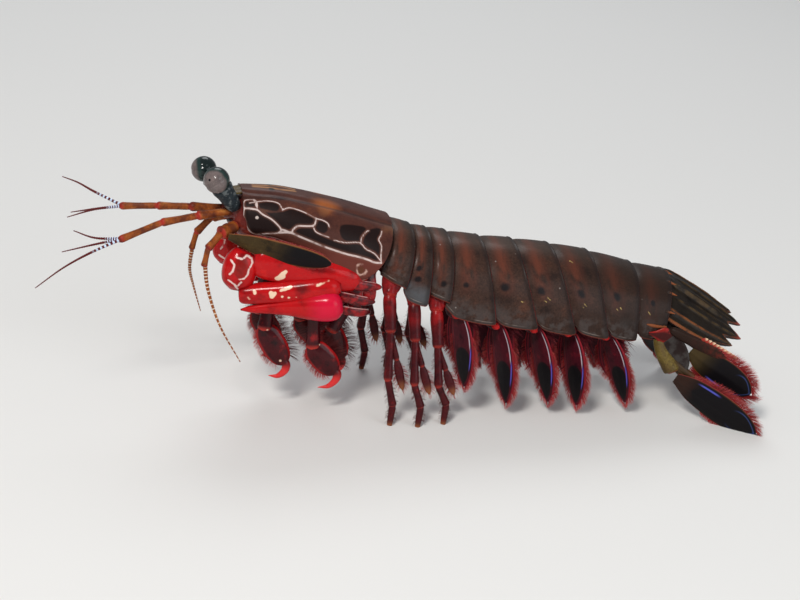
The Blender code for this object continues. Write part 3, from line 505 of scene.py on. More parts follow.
class Station:
    """One cross-section of the trunk: a place on the ridge, its turn and its sizes."""

    def __init__(self, ridge, pitch, half_width, side_depth, belly_depth, yaw=0.0, roll=0.0):
        self.ridge = np.array(ridge, float)
        cy, sy, cp, sp = math.cos(yaw), math.sin(yaw), math.cos(pitch), math.sin(pitch)
        self.back = vec(cy * cp, -sy * cp, -sp)
        level = vec(sy, cy, 0)
        upright = np.cross(self.back, level)
        self.side = level * math.cos(roll) + upright * math.sin(roll)
        self.up = upright * math.cos(roll) - level * math.sin(roll)
        self.half_width, self.side_depth, self.belly_depth = half_width, side_depth, belly_depth
        self.sweep = self.lift = 0.0

    def raised(self, by):
        self.ridge = self.ridge + self.up * by
        self.half_width += by
        self.side_depth += by
        self.lift += by
        return self

    def point(self, y, down, shift=0.0):
        """Places on the section: sideways, below the ridge, and moved back."""
        y, down = np.asarray(y, float), np.asarray(down, float)
        depth = np.maximum(0.0, down - self.lift)
        if self.sweep < 0:
            swept = self.sweep * (depth / self.side_depth) ** 3
        else:
            swept = self.sweep * (depth / SWEEP_DEPTH) ** 1.2
        shift = shift + swept
        moved = self.back * shift[..., None]
        return self.ridge + self.side * y[..., None] - self.up * down[..., None] + moved

    def outer(self, steps, groove=0.0):
        """The arch from the left flap over the ridge to the right flap, with its rolled lower edge."""
        angle = math.pi * (np.arange(steps + 1) / steps - 0.5)
        reach = np.abs(np.sin(angle)) ** (2 / ARCH_POWER)
        down = (1 - np.abs(np.cos(angle)) ** (2 / ARCH_POWER)) * self.side_depth
        away = np.abs(reach - GROOVE_AT)
        down = down + groove * np.exp(-((away / 0.08) ** 2))
        curl = 0.5 * np.exp(-(((self.side_depth - down) / 0.45) ** 2))
        return self.point(np.sign(angle) * (reach * self.half_width - curl), down)

    def inner(self, steps):
        """The underside: inside a flap near the ends, and the belly between."""
        reach = np.sin(math.pi * (np.arange(steps + 1) / steps - 0.5))
        wall = self.half_width - FLAP_THICKNESS
        y = wall * np.sign(reach) * np.abs(reach) ** 0.85
        hang = np.maximum(0.0, (np.abs(reach) - 0.86) / 0.14) ** 0.8
        down = self.belly_depth + (self.side_depth - 0.3 - self.belly_depth) * hang
        cover = 1 - (1 - np.minimum(0.999, np.abs(y) / self.half_width) ** ARCH_POWER) ** (1 / ARCH_POWER)
        low = cover * self.side_depth + 0.8
        down = down - 0.9 * (1 - hang) * np.abs(reach) ** 3
        return self.point(y, np.minimum(np.maximum(down, low), self.side_depth - 0.1))


print("points of an arch:", len(Station((0, 0, 0), 0, 13, 16, 14).outer(84)))

# %% [markdown]
# ## Distances for the paint
#
# Spots and bands keep their distance from a plate's edges. A UV map could carry them, but needs seams.
# Distances measured on the unrolled plate, and kept on its points, need none.

# %% A shell with its distances
def arched(stations, places, steps=84, groove=0.0):
    """A closed shell through stations, with each point's distance from its edges."""
    outer = np.stack([s.outer(steps, groove) for s in stations])
    inner = np.stack([s.inner(steps)[::-1] for s in stations])
    rings = np.concatenate([outer, inner], 1)
    rows, columns = rings.shape[:2]
    run = np.linalg.norm(np.diff(outer, axis=1), axis=2)
    arc = np.concatenate([np.zeros((rows, 1)), np.cumsum(run, axis=1)], 1)
    middle = arc[:, [steps // 2]]
    arc = arc - middle
    low = np.minimum(arc - arc[:, :1], arc[:, -1:] - arc)
    rear = np.linalg.norm(outer - outer[-1], axis=2)
    front = np.linalg.norm(outer - outer[0], axis=2)
    flat = np.zeros((rows, steps + 1))
    marks = {}
    sides = (("arc", arc, 0), ("low", low, 0), ("rear", rear, 9), ("front", front, 9), ("belly", flat, 1))
    for key, top, under in sides:
        marks[key] = np.concatenate([top, flat + under], 1)
    return shell(rings, share=np.repeat(places, columns).reshape(rows, columns), **marks)


print("marks of a plate: share, arc, low, rear, front, belly")

# %% Sections between two seams
def ridge_pitch(table, index):
    before, after = table[max(index - 1, 0)], table[min(index + 1, len(table) - 1)]
    return math.atan2(before[1] - after[1], after[0] - before[0])


def ridge_y(x):
    """How far the ridge has moved to the left, where the tail turns."""
    return -0.012 * max(0.0, x - 52.0) ** 1.6


def plate_station(index, share, flap=14.0):
    """The cross-section at a share of the way along one plate."""
    front, rear = np.array(BOUNDARIES[index]), np.array(BOUNDARIES[index + 1])
    x, z, half_width, belly_depth, sweep = front + (rear - front) * share
    pitches = ridge_pitch(BOUNDARIES, index), ridge_pitch(BOUNDARIES, index + 1)
    turns = TURN.get(index, (0, 0)), TURN.get(index + 1, (0, 0))
    pitch = pitches[0] + (pitches[1] - pitches[0]) * share
    yaw, roll = (math.radians(a + (b - a) * share) for a, b in zip(*turns))
    depth = max(flap, belly_depth + 0.8)
    station = Station((x, ridge_y(x), z), pitch, half_width, depth, belly_depth, yaw, roll)
    station.sweep = sweep
    station.ridge = station.ridge + station.back * 0.18 * (1 - 2 * share)
    return station


print("half width in the middle of the third plate:", round(plate_station(2, 0.5).half_width, 2))

# %% [markdown]
# ## One plate
#
# Each plate slides under the one before it, and its rear edge is rolled. Bevels would give one even rim.
# Here a small table is the height over the arch, so step, swelling and rim are one line of numbers, and the
# rings stand closest at the rim.

# %% The nine plates
# Distance from the front edge as a share, and height over the even surface.
PLATE_HEIGHTS = ((-0.1, -1.0), (0.0, -0.62), (0.1, -0.26), (0.22, -0.04), (0.5, 0.12), (0.8, 0.16),
                 (1.0, 0.12))
FLAP_HANGS = ((-0.1, 0.88), (0.0, 0.93), (0.15, 0.985), (0.5, 1.0), (0.85, 0.99), (1.0, 0.955))


def plate(index):
    """One plate with the flesh inside it, its rolled rear rim and its under-lapping front edge."""
    _, front_flap, rear_flap = PLATES[index]
    length = BOUNDARIES[index + 1][0] - BOUNDARIES[index][0]
    rim = 0.55 / length
    places = np.concatenate([np.linspace(-0.09, 0.2, 8), np.linspace(0.26, 1 - 2.2 * rim, 11)])
    places = np.concatenate([places, 1 - rim * np.array((1.8, 1.4, 1.0, 0.6, 0.3, 0.1, 0.0))])
    stations = []
    for share in places:
        flap = (front_flap + (rear_flap - front_flap) * share) * lookup(FLAP_HANGS, share)
        height = lookup(PLATE_HEIGHTS, share)
        from_rear = (1 - share) / rim
        swelling, edge = ((from_rear - 0.6) / 0.45) ** 2, (from_rear / 0.12) ** 2
        height += 0.13 * math.exp(-swelling) - 0.3 * math.exp(-edge)
        stations.append(plate_station(index, share, flap).raised(height))
    form, marks = arched(stations, places)
    return form, marks, stations


TRUNK = {entry[0]: plate(index) for index, entry in enumerate(PLATES)}
print("plates:", ", ".join(TRUNK))

# %% [markdown]
# ## Spots of the plates
#
# Each flap has one soft black spot, and some have yellow flecks below. Random spots would never sit as on
# the animal, so each has its own listed place.

# %% Spots and flecks
PLATE_SPOTS = {
    "thorax_7": ((0.29, 14.1, 0.7), (0.33, 16.8, 0.8)), "thorax_8": ((0.49, 17.4, 0.8),),
    "abdomen_1": ((0.3, 16.4, 0.7),), "abdomen_2": ((0.29, 16.0, 1.15),), "abdomen_3": ((0.26, 16.3, 1.2),),
    "abdomen_4": ((0.35, 15.6, 1.25),), "abdomen_5": ((0.36, 13.7, 1.15),), "abdomen_6": ((0.4, 11.6, 0.8),),
}
PLATE_FLECKS = {
    "abdomen_2": ((0.7, 19.7),), "abdomen_3": ((0.3, 18.9), (0.42, 18.2)),
    "abdomen_4": ((0.32, 19.0), (0.42, 18.4), (0.3, 6.8)),
    "abdomen_5": ((0.35, 17.0), (0.45, 16.4)), "abdomen_6": ((0.3, 14.4),),
}
FLECK_TURN = np.array(((0.8, 0.6), (-0.6, 0.8)))
NOTHING_NEAR = 9.0


def plate_marks(name, marks):
    """Distances from the dark spots and the slanting flecks, on the unrolled plate."""
    index = list(TRUNK).index(name)
    length = BOUNDARIES[index + 1][0] - BOUNDARIES[index][0]
    places = np.stack([marks["share"] * length, np.abs(marks["arc"])], 1)
    spot, fleck = np.full(len(places), NOTHING_NEAR), np.full(len(places), NOTHING_NEAR)
    for share, arc, size in PLATE_SPOTS.get(name, ()):
        spot = np.minimum(spot, np.linalg.norm(places - (share * length, arc), axis=1) / size)
    for share, arc in PLATE_FLECKS.get(name, ()):
        away = (places - (share * length, arc)) @ FLECK_TURN.T
        fleck = np.minimum(fleck, np.hypot(away[:, 0], away[:, 1] * 2.4))
    return {**marks, "spot": spot, "fleck": fleck, "slate": np.full(len(places), 1.0 * (name == "thorax_7"))}


print("plates with a black spot:", len(PLATE_SPOTS))

# %% [markdown]
# ## Dark brown shell
#
# The back is dark brown with rusty patches and dark streaks, grey at the flanks and nearly black at the
# tail, with a red rear rim. One noise can't do it all. The layers go from the widest to the finest, and
# noise that is stretched along the plate makes the streaks.

# %% Shell finish
def shell_pattern(look):
    share, arc, low, rear = look.marks("share", "arc", "low", "rear")
    down, clouds = look.absolute(arc), look.noise(4.5, 4)
    stretched = look.node("CombineXYZ", 0, X=look.times(share, 2.6), Y=look.times(arc, 0.09),
                          Z=look.times(clouds, 0.5))
    streaks = look.node("TexNoise", 0, Vector=stretched, Scale=1.6, Detail=3.0, Roughness=0.5)
    look.paint("rust patches", (0.13, 0.034, 0.019), look.band(share, 0.34, 0.16, 0.2),
               look.step(streaks, 0.4, 0.62), look.step(down, 20.0, 13.0), 0.8)
    look.paint("olive ridge", (0.05, 0.034, 0.02), look.step(down, 9.0, 2.0), 0.3)
    look.paint("dark streaks", (0.028, 0.017, 0.014), look.step(streaks, 0.5, 0.3), 0.55)
    aft = look.step(look.node("SeparateXYZ", Vector=look.place()), 25 * MM, 68 * MM)
    look.paint("darker tail end", (0.019, 0.011, 0.008), aft, 0.72)
    look.paint("grey flanks", (0.075, 0.066, 0.064), look.step(low, 7.5, 2.5),
               look.patches(2.4, 4, 0.42, 0.6), 0.45)
    look.paint("slate flap", (0.085, 0.095, 0.105), look.mark("slate"), look.step(low, 6.5, 3.0),
               look.step(clouds, 0.3, 0.6), 0.7)
    look.paint("pale dashes", PALE, look.band(low, 1.1, 0.05, 0.14), look.patches(3.4, 3, 0.4, 0.65), 0.38)
    fuzzy = look.plus(look.mark("spot"), look.times(look.noise(1.4, 3), 0.7))
    look.paint("black spots", BLACK, look.step(fuzzy, 1.75, 0.85), 0.95)
    fleck = look.plus(look.mark("fleck"), look.noise(0.7, 2))
    look.paint("yellow flecks", (0.5, 0.36, 0.12), look.step(fleck, 1.25, 0.85), 0.75)
    look.paint("pale specks", (0.4, 0.36, 0.33), look.step(look.cells(3.4), 0.075, 0.045),
               look.step(clouds, 0.5, 0.56), 0.4)
    look.paint("dark band at the rim", DARK, look.step(rear, 1.8, 0.6), 0.6)
    look.paint("red seam", (0.26, 0.018, 0.012), look.step(rear, 0.42, 0.26), look.step(clouds, 0.3, 0.5),
               0.85)
    look.paint("red lower edge", (0.22, 0.035, 0.02), look.step(low, 0.35, 0.18), 0.7)
    look.paint("orange spine tips", (0.26, 0.075, 0.025), look.mark("spine"),
               look.step(look.mark("along"), 0.5, 0.9))
    look.paint("belly", (0.16, 0.05, 0.04), look.mark("belly"))


finish("shell", (0.042, 0.021, 0.015), (0.019, 0.010, 0.008), (0.072, 0.030, 0.019), 5.5, 0.42,
       shell_pattern, **CLEAR)

# %% [markdown]
# ## The plates shown
#
# The last plate has six low keels that run out into spines, and one keel low on each flap. Displacement
# could raise a keel but no overhanging spine, so each is a small tapered tube sunk into the plate.

# %% Keels, and the plates
SPINE_PLACES = (0.24, 0.55, 0.86)
KEEL_PATH = ((0.5, -3.0), (0.12, -1.6), (0.0, -0.4), (0.1, 1.5))  # how far below the plate, and how far back
KEEL = {"rear": 5.0, "low": 5.0, "spot": NOTHING_NEAR, "fleck": NOTHING_NEAR}


def add_keels(heap, stations):
    last = stations[-1]
    for share in SPINE_PLACES:
        for side in (LEFT, RIGHT):
            angle = math.asin(share ** (ARCH_POWER / 2))
            down = last.side_depth * (1 - math.cos(angle) ** (2 / ARCH_POWER))
            y = side * share * last.half_width
            path = [last.point(y, down + d, back) for d, back in KEEL_PATH]
            sizes = [(0.35, 0.2), (0.7, 0.42), (0.55, 0.42), (0.05, 0.05)]
            heap.add(loft(sweep(path, sizes, last.side, 26, 16)), spine=1.0, **KEEL)
    for side in (LEFT, RIGHT):
        along = [s.point(side * (0.974 * s.half_width + 0.05), s.side_depth * 0.7) for s in stations[8::3]]
        sizes = [(0.12, 0.1)] + [(0.42, 0.34)] * (len(along) - 2) + [(0.3, 0.3)]
        heap.add(loft(sweep(along, sizes, last.up, 40, 12)), spine=0.85, along=1.0, **KEEL)


for name, (form, marks, stations) in TRUNK.items():
    heap = Heap()
    heap.add(form, **plate_marks(name, marks))
    if name == "abdomen_6":
        add_keels(heap, stations)
    heap.show(f"{name}_plate", "shell", "shell", name)

# %% [markdown]
# ## The carapace
#
# The shield over head and chest is one smooth shell with two long grooves. It is built like the plates, but
# with far more rings, because its fine lines are only as sharp as the distances on its points.

# %% The carapace
CARAPACE = (  # x and height of the ridge, half width, depth of the sides
    (-41.6, 55.2, 7.0, 5.4),
    (-39.6, 55.2, 8.4, 9.2),
    (-33.0, 54.9, 9.8, 9.9),
    (-27.0, 53.9, 10.9, 10.6),
    (-21.0, 52.6, 11.8, 11.8),
    (-15.0, 51.2, 12.6, 13.6),
    (-9.5, 49.6, 13.1, 14.4),
    (-4.7, 48.2, 13.2, 12.2),
)
CARAPACE_ROOF = 4.2


def build_carapace():
    """The head shield, its two long grooves and its rounded rear corners."""
    places = np.concatenate([np.linspace(0, 1, 14)[:-1], np.linspace(1, 6, 84)[:-1], np.linspace(6, 7, 22)])
    rows = through(CARAPACE, places)
    pitch = np.arctan2(-np.gradient(rows[:, 1]), np.gradient(rows[:, 0]))
    stations = []
    for (x, z, half_width, depth), slope in zip(rows, pitch):
        station = Station((x, 0, z), slope, half_width, depth, CARAPACE_ROOF)
        station.sweep = -2.6 * max(0.0, (x + 9.5) / 4.8) ** 1.6
        stations.append(station)
    return arched(stations, places / 7, 150, GROOVE_DEPTH)


SHIELD, SHIELD_MARKS = build_carapace()
print("points of the carapace:", len(SHIELD[0]))

# %% [markdown]
# ## The map on its sides
#
# The flank carries dark cells in pale outlines. Voronoi cells look like them from afar, but are straight
# and lie anywhere. So each cell and line is drawn on the unrolled shell, as places along the body
# and down from the ridge.

# %% Cells and lines
CELLS = (  # closed
    ((-41.5, 9.4), (-41.2, 8.6), (-40.1, 8.5), (-38.4, 8.9), (-37.1, 10.1), (-35.2, 11.2), (-33.8, 12.5),
     (-33.1, 13.6), (-33.8, 14.3), (-36.4, 14.4), (-38.9, 14.5), (-40.3, 13.4), (-41.1, 11.2)),
    ((-38.1, 7.1), (-35.9, 6.8), (-34.0, 7.2), (-33.2, 8.2), (-33.9, 9.2), (-35.9, 8.9), (-37.7, 8.3)),
    ((-41.0, 6.6), (-39.2, 6.6), (-39.1, 7.8), (-41.0, 8.0)),
    ((-36.4, 9.4), (-35.0, 9.6), (-32.4, 9.3), (-30.0, 8.3), (-27.4, 9.0), (-24.8, 10.0), (-24.7, 10.7),
     (-25.5, 11.5), (-26.9, 11.9), (-29.0, 12.1), (-30.2, 13.0), (-31.4, 13.5), (-32.6, 13.2),
     (-33.6, 12.2), (-35.0, 11.0)),
    ((-29.7, 13.9), (-28.6, 12.9), (-26.8, 12.5), (-25.4, 12.4), (-24.4, 13.4), (-22.7, 13.9),
     (-20.4, 14.4), (-17.5, 14.6), (-14.4, 13.8), (-13.2, 14.1), (-12.2, 14.8), (-10.3, 15.3), (-9.3, 16.6),
     (-11.8, 16.4), (-17.1, 16.5), (-21.0, 16.1), (-25.2, 15.3), (-28.2, 14.6)),
    ((-24.3, 10.6), (-23.4, 10.2), (-22.3, 10.3), (-21.6, 11.0), (-21.9, 12.4), (-22.9, 13.1),
     (-24.3, 12.7), (-24.7, 11.8)),
    ((-18.5, 10.4), (-17.5, 9.8), (-15.2, 9.3), (-12.7, 9.0), (-12.1, 9.5), (-13.0, 10.9), (-13.8, 12.1),
     (-14.0, 13.0), (-16.4, 13.7), (-18.1, 13.4), (-18.8, 11.9)),
    ((-11.2, 9.3), (-9.4, 8.3), (-8.2, 8.3), (-8.5, 9.5), (-9.5, 11.4), (-8.9, 12.9), (-9.1, 15.0),
     (-10.2, 14.4), (-12.0, 13.9), (-13.0, 13.1), (-12.7, 11.7), (-11.9, 10.4)),
)
VEINS = (  # half width, then points
    (0.15, (-41.6, 10.2), (-41.5, 8.6), (-40.3, 8.3), (-38.4, 8.8), (-37.2, 9.9), (-35.2, 11.1),
     (-33.8, 12.4), (-32.9, 13.6), (-33.6, 14.5), (-36.4, 14.6), (-38.9, 14.8), (-40.4, 13.5),
     (-41.2, 11.6), (-41.6, 10.2)),
    (0.11, (-40.2, 7.0), (-38.4, 6.7), (-35.9, 6.5), (-33.4, 7.1), (-32.5, 8.7)),
    (0.1, (-39.2, 5.8), (-38.8, 7.3), (-38.4, 8.9)),
    (0.13, (-32.5, 8.9), (-31.4, 8.3), (-30.2, 8.1), (-27.4, 8.7), (-24.5, 9.8), (-23.1, 9.9),
     (-21.7, 10.4), (-21.3, 11.4)),
    (0.17, (-32.9, 13.6), (-32.1, 13.7), (-30.6, 14.1), (-29.9, 13.2), (-28.9, 12.4), (-26.7, 12.1),
     (-25.2, 11.7), (-24.6, 10.7), (-24.5, 9.8)),
    (0.2, (-33.4, 14.4), (-30.6, 14.2), (-28.2, 14.9), (-25.0, 15.7), (-21.1, 16.4), (-17.1, 16.8),
     (-14.3, 16.7), (-11.8, 16.8), (-10.3, 17.1), (-8.6, 17.0)),
    (0.12, (-25.2, 11.7), (-25.0, 12.6), (-24.4, 13.2), (-22.7, 13.6), (-21.4, 13.8)),
    (0.12, (-20.2, 14.2), (-17.5, 14.2), (-14.4, 13.4), (-13.2, 13.7), (-12.4, 14.4), (-10.3, 15.0),
     (-8.9, 16.3)),
    (0.13, (-11.4, 9.6), (-12.2, 10.3), (-13.3, 11.9), (-13.6, 13.4)),
    (0.12, (-8.1, 8.8), (-8.4, 10.0), (-9.1, 11.4), (-8.5, 12.8), (-8.7, 15.2), (-8.6, 17.0)),
    (0.11, (-41.6, 8.1), (-40.5, 8.4), (-38.6, 8.5), (-38.7, 6.3), (-40.9, 6.2), (-41.6, 7.0), (-41.6, 8.1)),
)
STREAK = ((-38.5, 0.6), (-35.5, 0.8), (-32.0, 1.3), (-28.6, 0.7))
CARAPACE_SPOTS = {"dot": (-34.4, 1.7), "glow": (-21.4, 4.9), "ring": (-13.4, 19.6), "pearl": (-38.5, 10.6)}
print("cells:", len(CELLS), "and lines:", len(VEINS))


# %% How far each point is from them
FAR = 99.0


def to_line(places, line):
    """The distance of places from a line through points."""
    best = np.full(len(places), FAR)
    for a, b in zip(line, line[1:]):
        a, run = np.array(a, float), np.subtract(b, a)
        share = np.clip(((places - a) @ run) / (run @ run), 0, 1)
        best = np.minimum(best, np.linalg.norm(places - a - share[:, None] * run, axis=1))
    return best


def inside(places, polygon):
    result = np.zeros(len(places), bool)
    for (ax, ay), (bx, by) in zip(polygon, polygon[1:] + polygon[:1]):
        with np.errstate(divide="ignore", invalid="ignore"):
            cross = ax + (places[:, 1] - ay) * (bx - ax) / (by - ay)
        result ^= ((ay > places[:, 1]) != (by > places[:, 1])) & (places[:, 0] < cross)
    return result


def rounded(line, closed=False):
    """A smooth line through points."""
    points = np.array(list(line) + list(line[:1] if closed else ()), float)
    return [tuple(p) for p in through(points, np.linspace(0, len(points) - 1, 4 * len(points)))]


def carapace_marks(form, marks):
    """Distances on the unrolled carapace: from the cells' edges, the pale lines, the streak and the spots."""
    places = np.stack([form[0][:, 0], np.abs(marks["arc"])], 1)
    cell, vein = np.full(len(places), FAR), np.full(len(places), FAR)
    for polygon in CELLS:
        polygon = rounded(polygon, True)
        away = to_line(places, polygon)
        cell = np.minimum(cell, np.where(inside(places, polygon), -away, away))
    for half, *line in VEINS:
        vein = np.minimum(vein, to_line(places, rounded(line)) / half)
    spots = {key: np.linalg.norm(places - centre, axis=1) for key, centre in CARAPACE_SPOTS.items()}
    return {**marks, **spots, "cell": cell, "vein": np.minimum(vein, 20.0),
            "streak": to_line(places, rounded(STREAK))}


print("a square holds its middle:", inside(np.array([(0.5, 0.5)]), ((0, 0), (1, 0), (1, 1), (0, 1)))[0])

# %% [markdown]
# ## Carapace finish, and the shield
#
# The cells are almost black, their outlines dull pink, and a rusty glow sits beside the ridge. Drawn lines
# can look printed, so a faint noise in their mask breaks them up here and there.

# %% Carapace finish, and the shield
def carapace_pattern(look):
    arc = look.absolute(look.mark("arc"))
    clouds = look.noise(5.0, 4)
    look.paint("warmer flank", (0.115, 0.028, 0.02), look.step(arc, 15.0, 17.5))
    look.paint("orange glow", (0.3, 0.085, 0.022), look.step(look.mark("glow"), 5.0, 0.5),
               look.step(clouds, 0.3, 0.6))
    look.paint("brown cloud", (0.17, 0.075, 0.035), look.band(arc, 7.4, 1.6, 1.4),
               look.step(clouds, 0.5, 0.62), 0.45)
    look.paint("tawny streak", (0.36, 0.17, 0.07), look.step(look.mark("streak"), 0.75, 0.2),
               look.step(clouds, 0.25, 0.45))
    look.paint("black dot", BLACK, look.step(look.mark("dot"), 1.0, 0.5))
    cell, vein = look.marks("cell", "vein")
    look.paint("dark cells", (0.008, 0.004, 0.004), look.step(cell, 0.25, -0.25), 0.93)
    look.paint("pearl", (0.6, 0.5, 0.45), look.step(look.mark("pearl"), 0.5, 0.3), 0.85)
    look.paint("halo of the lines", (0.2, 0.085, 0.06), look.step(vein, 4.5, 1.0), 0.35)
    tired = look.times(look.patches(3.0, 3, 0.25, 0.5), 0.9)
    look.paint("pale lines", (0.62, 0.5, 0.47), look.step(vein, 1.5, 0.75), tired)
    ring = look.plus(look.mark("ring"), look.times(look.noise(1.8, 3), 1.5))
    look.paint("pale ring", (0.52, 0.33, 0.27), look.band(ring, 2.0, 0.2, 0.2),
               look.patches(2.2, 2, 0.35, 0.6))
    look.paint("brown in the ring", (0.1, 0.03, 0.015), look.step(ring, 1.8, 1.4))
    look.paint("pale lower edge", (0.5, 0.3, 0.25), look.step(look.mark("low"), 0.35, 0.15), 0.6)
    look.paint("shade in the groove", DARK, look.band(arc, 5.6, 0.4, 0.4), 0.5)
    look.paint("inner side", (0.2, 0.05, 0.04), look.mark("belly"))


finish("carapace", (0.072, 0.024, 0.017), (0.036, 0.012, 0.010), (0.12, 0.038, 0.022), 6.0, 0.4,
       carapace_pattern, 0.05, 0.35, **CLEAR)
heap = Heap()
heap.add(SHIELD, **carapace_marks(SHIELD, SHIELD_MARKS))
heap.show("carapace_shield", "carapace", "shell", "carapace")

# %% [markdown]
# ## The telson
#
# The telson is the end plate of the tail, with nine keels and blunt teeth. Loops cut by hand would wander.
# So a grid gets its height from a table of keels and its rear edge from a table of teeth, with extra
# columns beside each crest.

# %% Sizes of the telson
TELSON_TURN = (9, 18)
TELSON_LENGTH, TELSON_PITCH, TELSON_HALF_WIDTH, TELSON_STEP, TELSON_DOME = 24.6, 31, 11.8, 1.4, 3.4
TELSON_SIDES = ((0.0, 0.88), (0.1, 0.97), (0.3, 1.0), (0.55, 0.98), (0.74, 0.9), (0.9, 0.82), (1.0, 0.78))
TELSON_REACH = ((-0.02, 0.82), (0.05, 0.82), (0.12, 0.86), (0.24, 0.95), (0.34, 1.0), (0.42, 0.95),
                (0.5, 0.83), (0.56, 0.76), (0.62, 0.8), (0.7, 0.86), (0.77, 0.9), (0.82, 0.82),
                (0.88, 0.69), (0.93, 0.68), (0.98, 0.74), (1.0, 0.735))
TELSON_RIDGES = ((0.0, 0.85, 0.05, 0.0, 0.72), (0.2, 0.22, 0.045, 0.3, 0.9), (0.4, 0.36, 0.05, 0.1, 0.95),
                 (0.76, 0.4, 0.05, 0.0, 0.95), (0.975, 0.45, 0.04, 0.0, 1.0))


def telson_station():
    last = plate_station(len(PLATES) - 1, 1.0)
    yaw, roll = (math.radians(a) for a in TELSON_TURN)
    station = Station(last.ridge, math.radians(TELSON_PITCH), TELSON_HALF_WIDTH, 0, 0, yaw, roll)
    station.ridge = station.ridge + last.back * 0.3 - last.up * TELSON_STEP
    return station


print("keels on one half:", len(TELSON_RIDGES))

# %% The telson
def build_telson():
    station = telson_station()
    station.side_depth = 1.0
    crests = [(s * r[0], s * (r[0] + 0.008)) for r in TELSON_RIDGES for s in (1, -1)]
    u = np.sort(np.concatenate([np.linspace(-1, 1, 121), *crests]))
    v = np.linspace(-0.03, 1, 70)
    reach = np.interp(np.abs(u), *np.array(TELSON_REACH).T)
    back = v[:, None] * reach
    half = TELSON_HALF_WIDTH * lookup(TELSON_SIDES, np.maximum(back, 0))
    y = half * u
    away = np.abs(u)[None] * np.ones_like(back)
    dome = TELSON_DOME * (1 - 0.55 * back) * away**2.2
    keel = np.zeros_like(back)
    for place, height, width, start, end in TELSON_RIDGES:
        rise = np.clip((back - start) / 0.1, 0, 1) * np.clip((end + 0.02 - back) / 0.12, 0, 1) + 0.15
        keel = keel + height * rise * np.exp(-(((away - place) / width) ** 2))
    near = np.minimum((1 - v[:, None]) * reach * TELSON_LENGTH, (1 - away) * half)
    thick = 0.3 + 1.4 * np.clip(near / 2.6, 0, 1) ** 0.7
    pits = 0.1 * np.sin(y * 1.9) * np.sin(back * 40)
    top = station.point(y, dome - keel * np.clip(near / 0.8, 0.25, 1) + pits * 0.3, back * TELSON_LENGTH)
    low = station.point(y * 0.985, dome + thick, back * TELSON_LENGTH - 0.05)
    rings = np.concatenate([top, low[:, ::-1]], 1)
    heap = Heap()
    marks = {}
    for key, values in (("edge", near), ("keel", keel), ("away", y), ("share", back)):
        marks[key] = np.concatenate([values, values[:, ::-1]], 1)
    form, marks = shell(rings, belly=np.concatenate([near * 0, near * 0 + 1], 1), **marks)
    heap.add(form, **marks)
    return heap


def telson_pattern(look):
    edge, keel, clouds = look.mark("edge"), look.mark("keel"), look.noise(2.5, 4)
    look.paint("olive keels", (0.1, 0.058, 0.02), look.step(keel, 0.1, 0.4), look.step(clouds, 0.35, 0.6),
               0.55)
    outer = look.step(look.absolute(look.mark("away")), 7.5, 9.0)
    look.paint("orange outer keels", (0.19, 0.055, 0.014), look.step(keel, 0.24, 0.5), outer,
               look.step(clouds, 0.25, 0.55))
    look.paint("orange edge", (0.2, 0.055, 0.018), look.step(edge, 0.55, 0.2),
               look.step(clouds, 0.35, 0.55), 0.7)
    look.paint("red tips", (0.24, 0.035, 0.02), look.step(look.mark("share"), 0.86, 0.99),
               look.step(edge, 1.6, 0.6))
    look.paint("underside", (0.045, 0.016, 0.011), look.mark("belly"))


finish("telson", (0.014, 0.010, 0.007), (0.007, 0.005, 0.004), (0.030, 0.020, 0.009), 4.0, 0.4,
       telson_pattern, 0.08, **CLEAR)
build_telson().show("telson_plate", "telson", "shell", "telson")

# %% [markdown]
# ## Thin blades
#
# Scales, hands, paddles and the fan are oval blades. A flattened sphere has equal ends. Here a blade has a
# root, a tip and its own outline, and can say where its edge runs, which the bristles need.

# %% Blades
LEAF = ((0.0, 0.30), (0.07, 0.52), (0.2, 0.82), (0.4, 0.98), (0.6, 0.98), (0.8, 0.78), (0.92, 0.5),
        (1.0, 0.12))


class Blade:
    """A thin oval blade: its form, its edge, and the bristles on that edge."""

    def __init__(self, root, tip, half_width, thickness, flat, outline=LEAF, bow=0.0, rib=0.0):
        self.root, self.tip = np.asarray(root, float), np.asarray(tip, float)
        self.half_width, self.thickness, self.outline = half_width, thickness, outline
        self.bow, self.rib = bow, rib
        self.along = unit(self.tip - self.root)
        self.across = unit(flat - self.along * (self.along @ flat))
        self.up = np.cross(self.along, self.across)

    def middle(self, share):
        lift = self.up * (self.bow * np.sin(math.pi * share))[:, None]
        return self.root + (self.tip - self.root) * share[:, None] + lift

    def form(self, rows=36, sides=32):
        """Its closed form, with how far across each point is, from -1 to 1."""
        share = np.linspace(0, 1, rows) ** 0.9
        half = self.half_width * lookup(self.outline, share)
        thick = self.thickness / 2 * (0.4 + 0.6 * np.minimum(1, half / self.half_width))
        angle = np.linspace(0, 2 * math.pi, sides, endpoint=False)
        c, s = np.cos(angle), np.sin(angle)
        rib = self.rib * np.exp(-((c / 0.16) ** 2)) * np.sign(s)
        rise = thick[:, None] * s + rib * (1 - share[:, None] ** 3)
        rings = self.middle(share)[:, None] + self.across * (half[:, None] * c)[..., None]
        rings = rings + self.up * rise[..., None]
        points, faces, _ = loft(rings)
        _, ring, place, middle = tube(rows, sides)
        return (points, faces, share[ring]), np.where(middle, 0, c[place])

    def edge(self, sign, share):
        """Points on one edge, and the ways that look out of it."""
        half = self.half_width * lookup(self.outline, share)
        points = self.middle(share) + self.across * (sign * half)[:, None]
        half = self.half_width * lookup(self.outline, share + 0.01)
        ends = self.middle(share + 0.01) + self.across * (sign * half)[:, None]
        run = unit(ends - points)
        return points, unit(np.cross(self.up, run) * sign), run


print("half width of the leaf at its middle:", lookup(LEAF, 0.5).round(2))

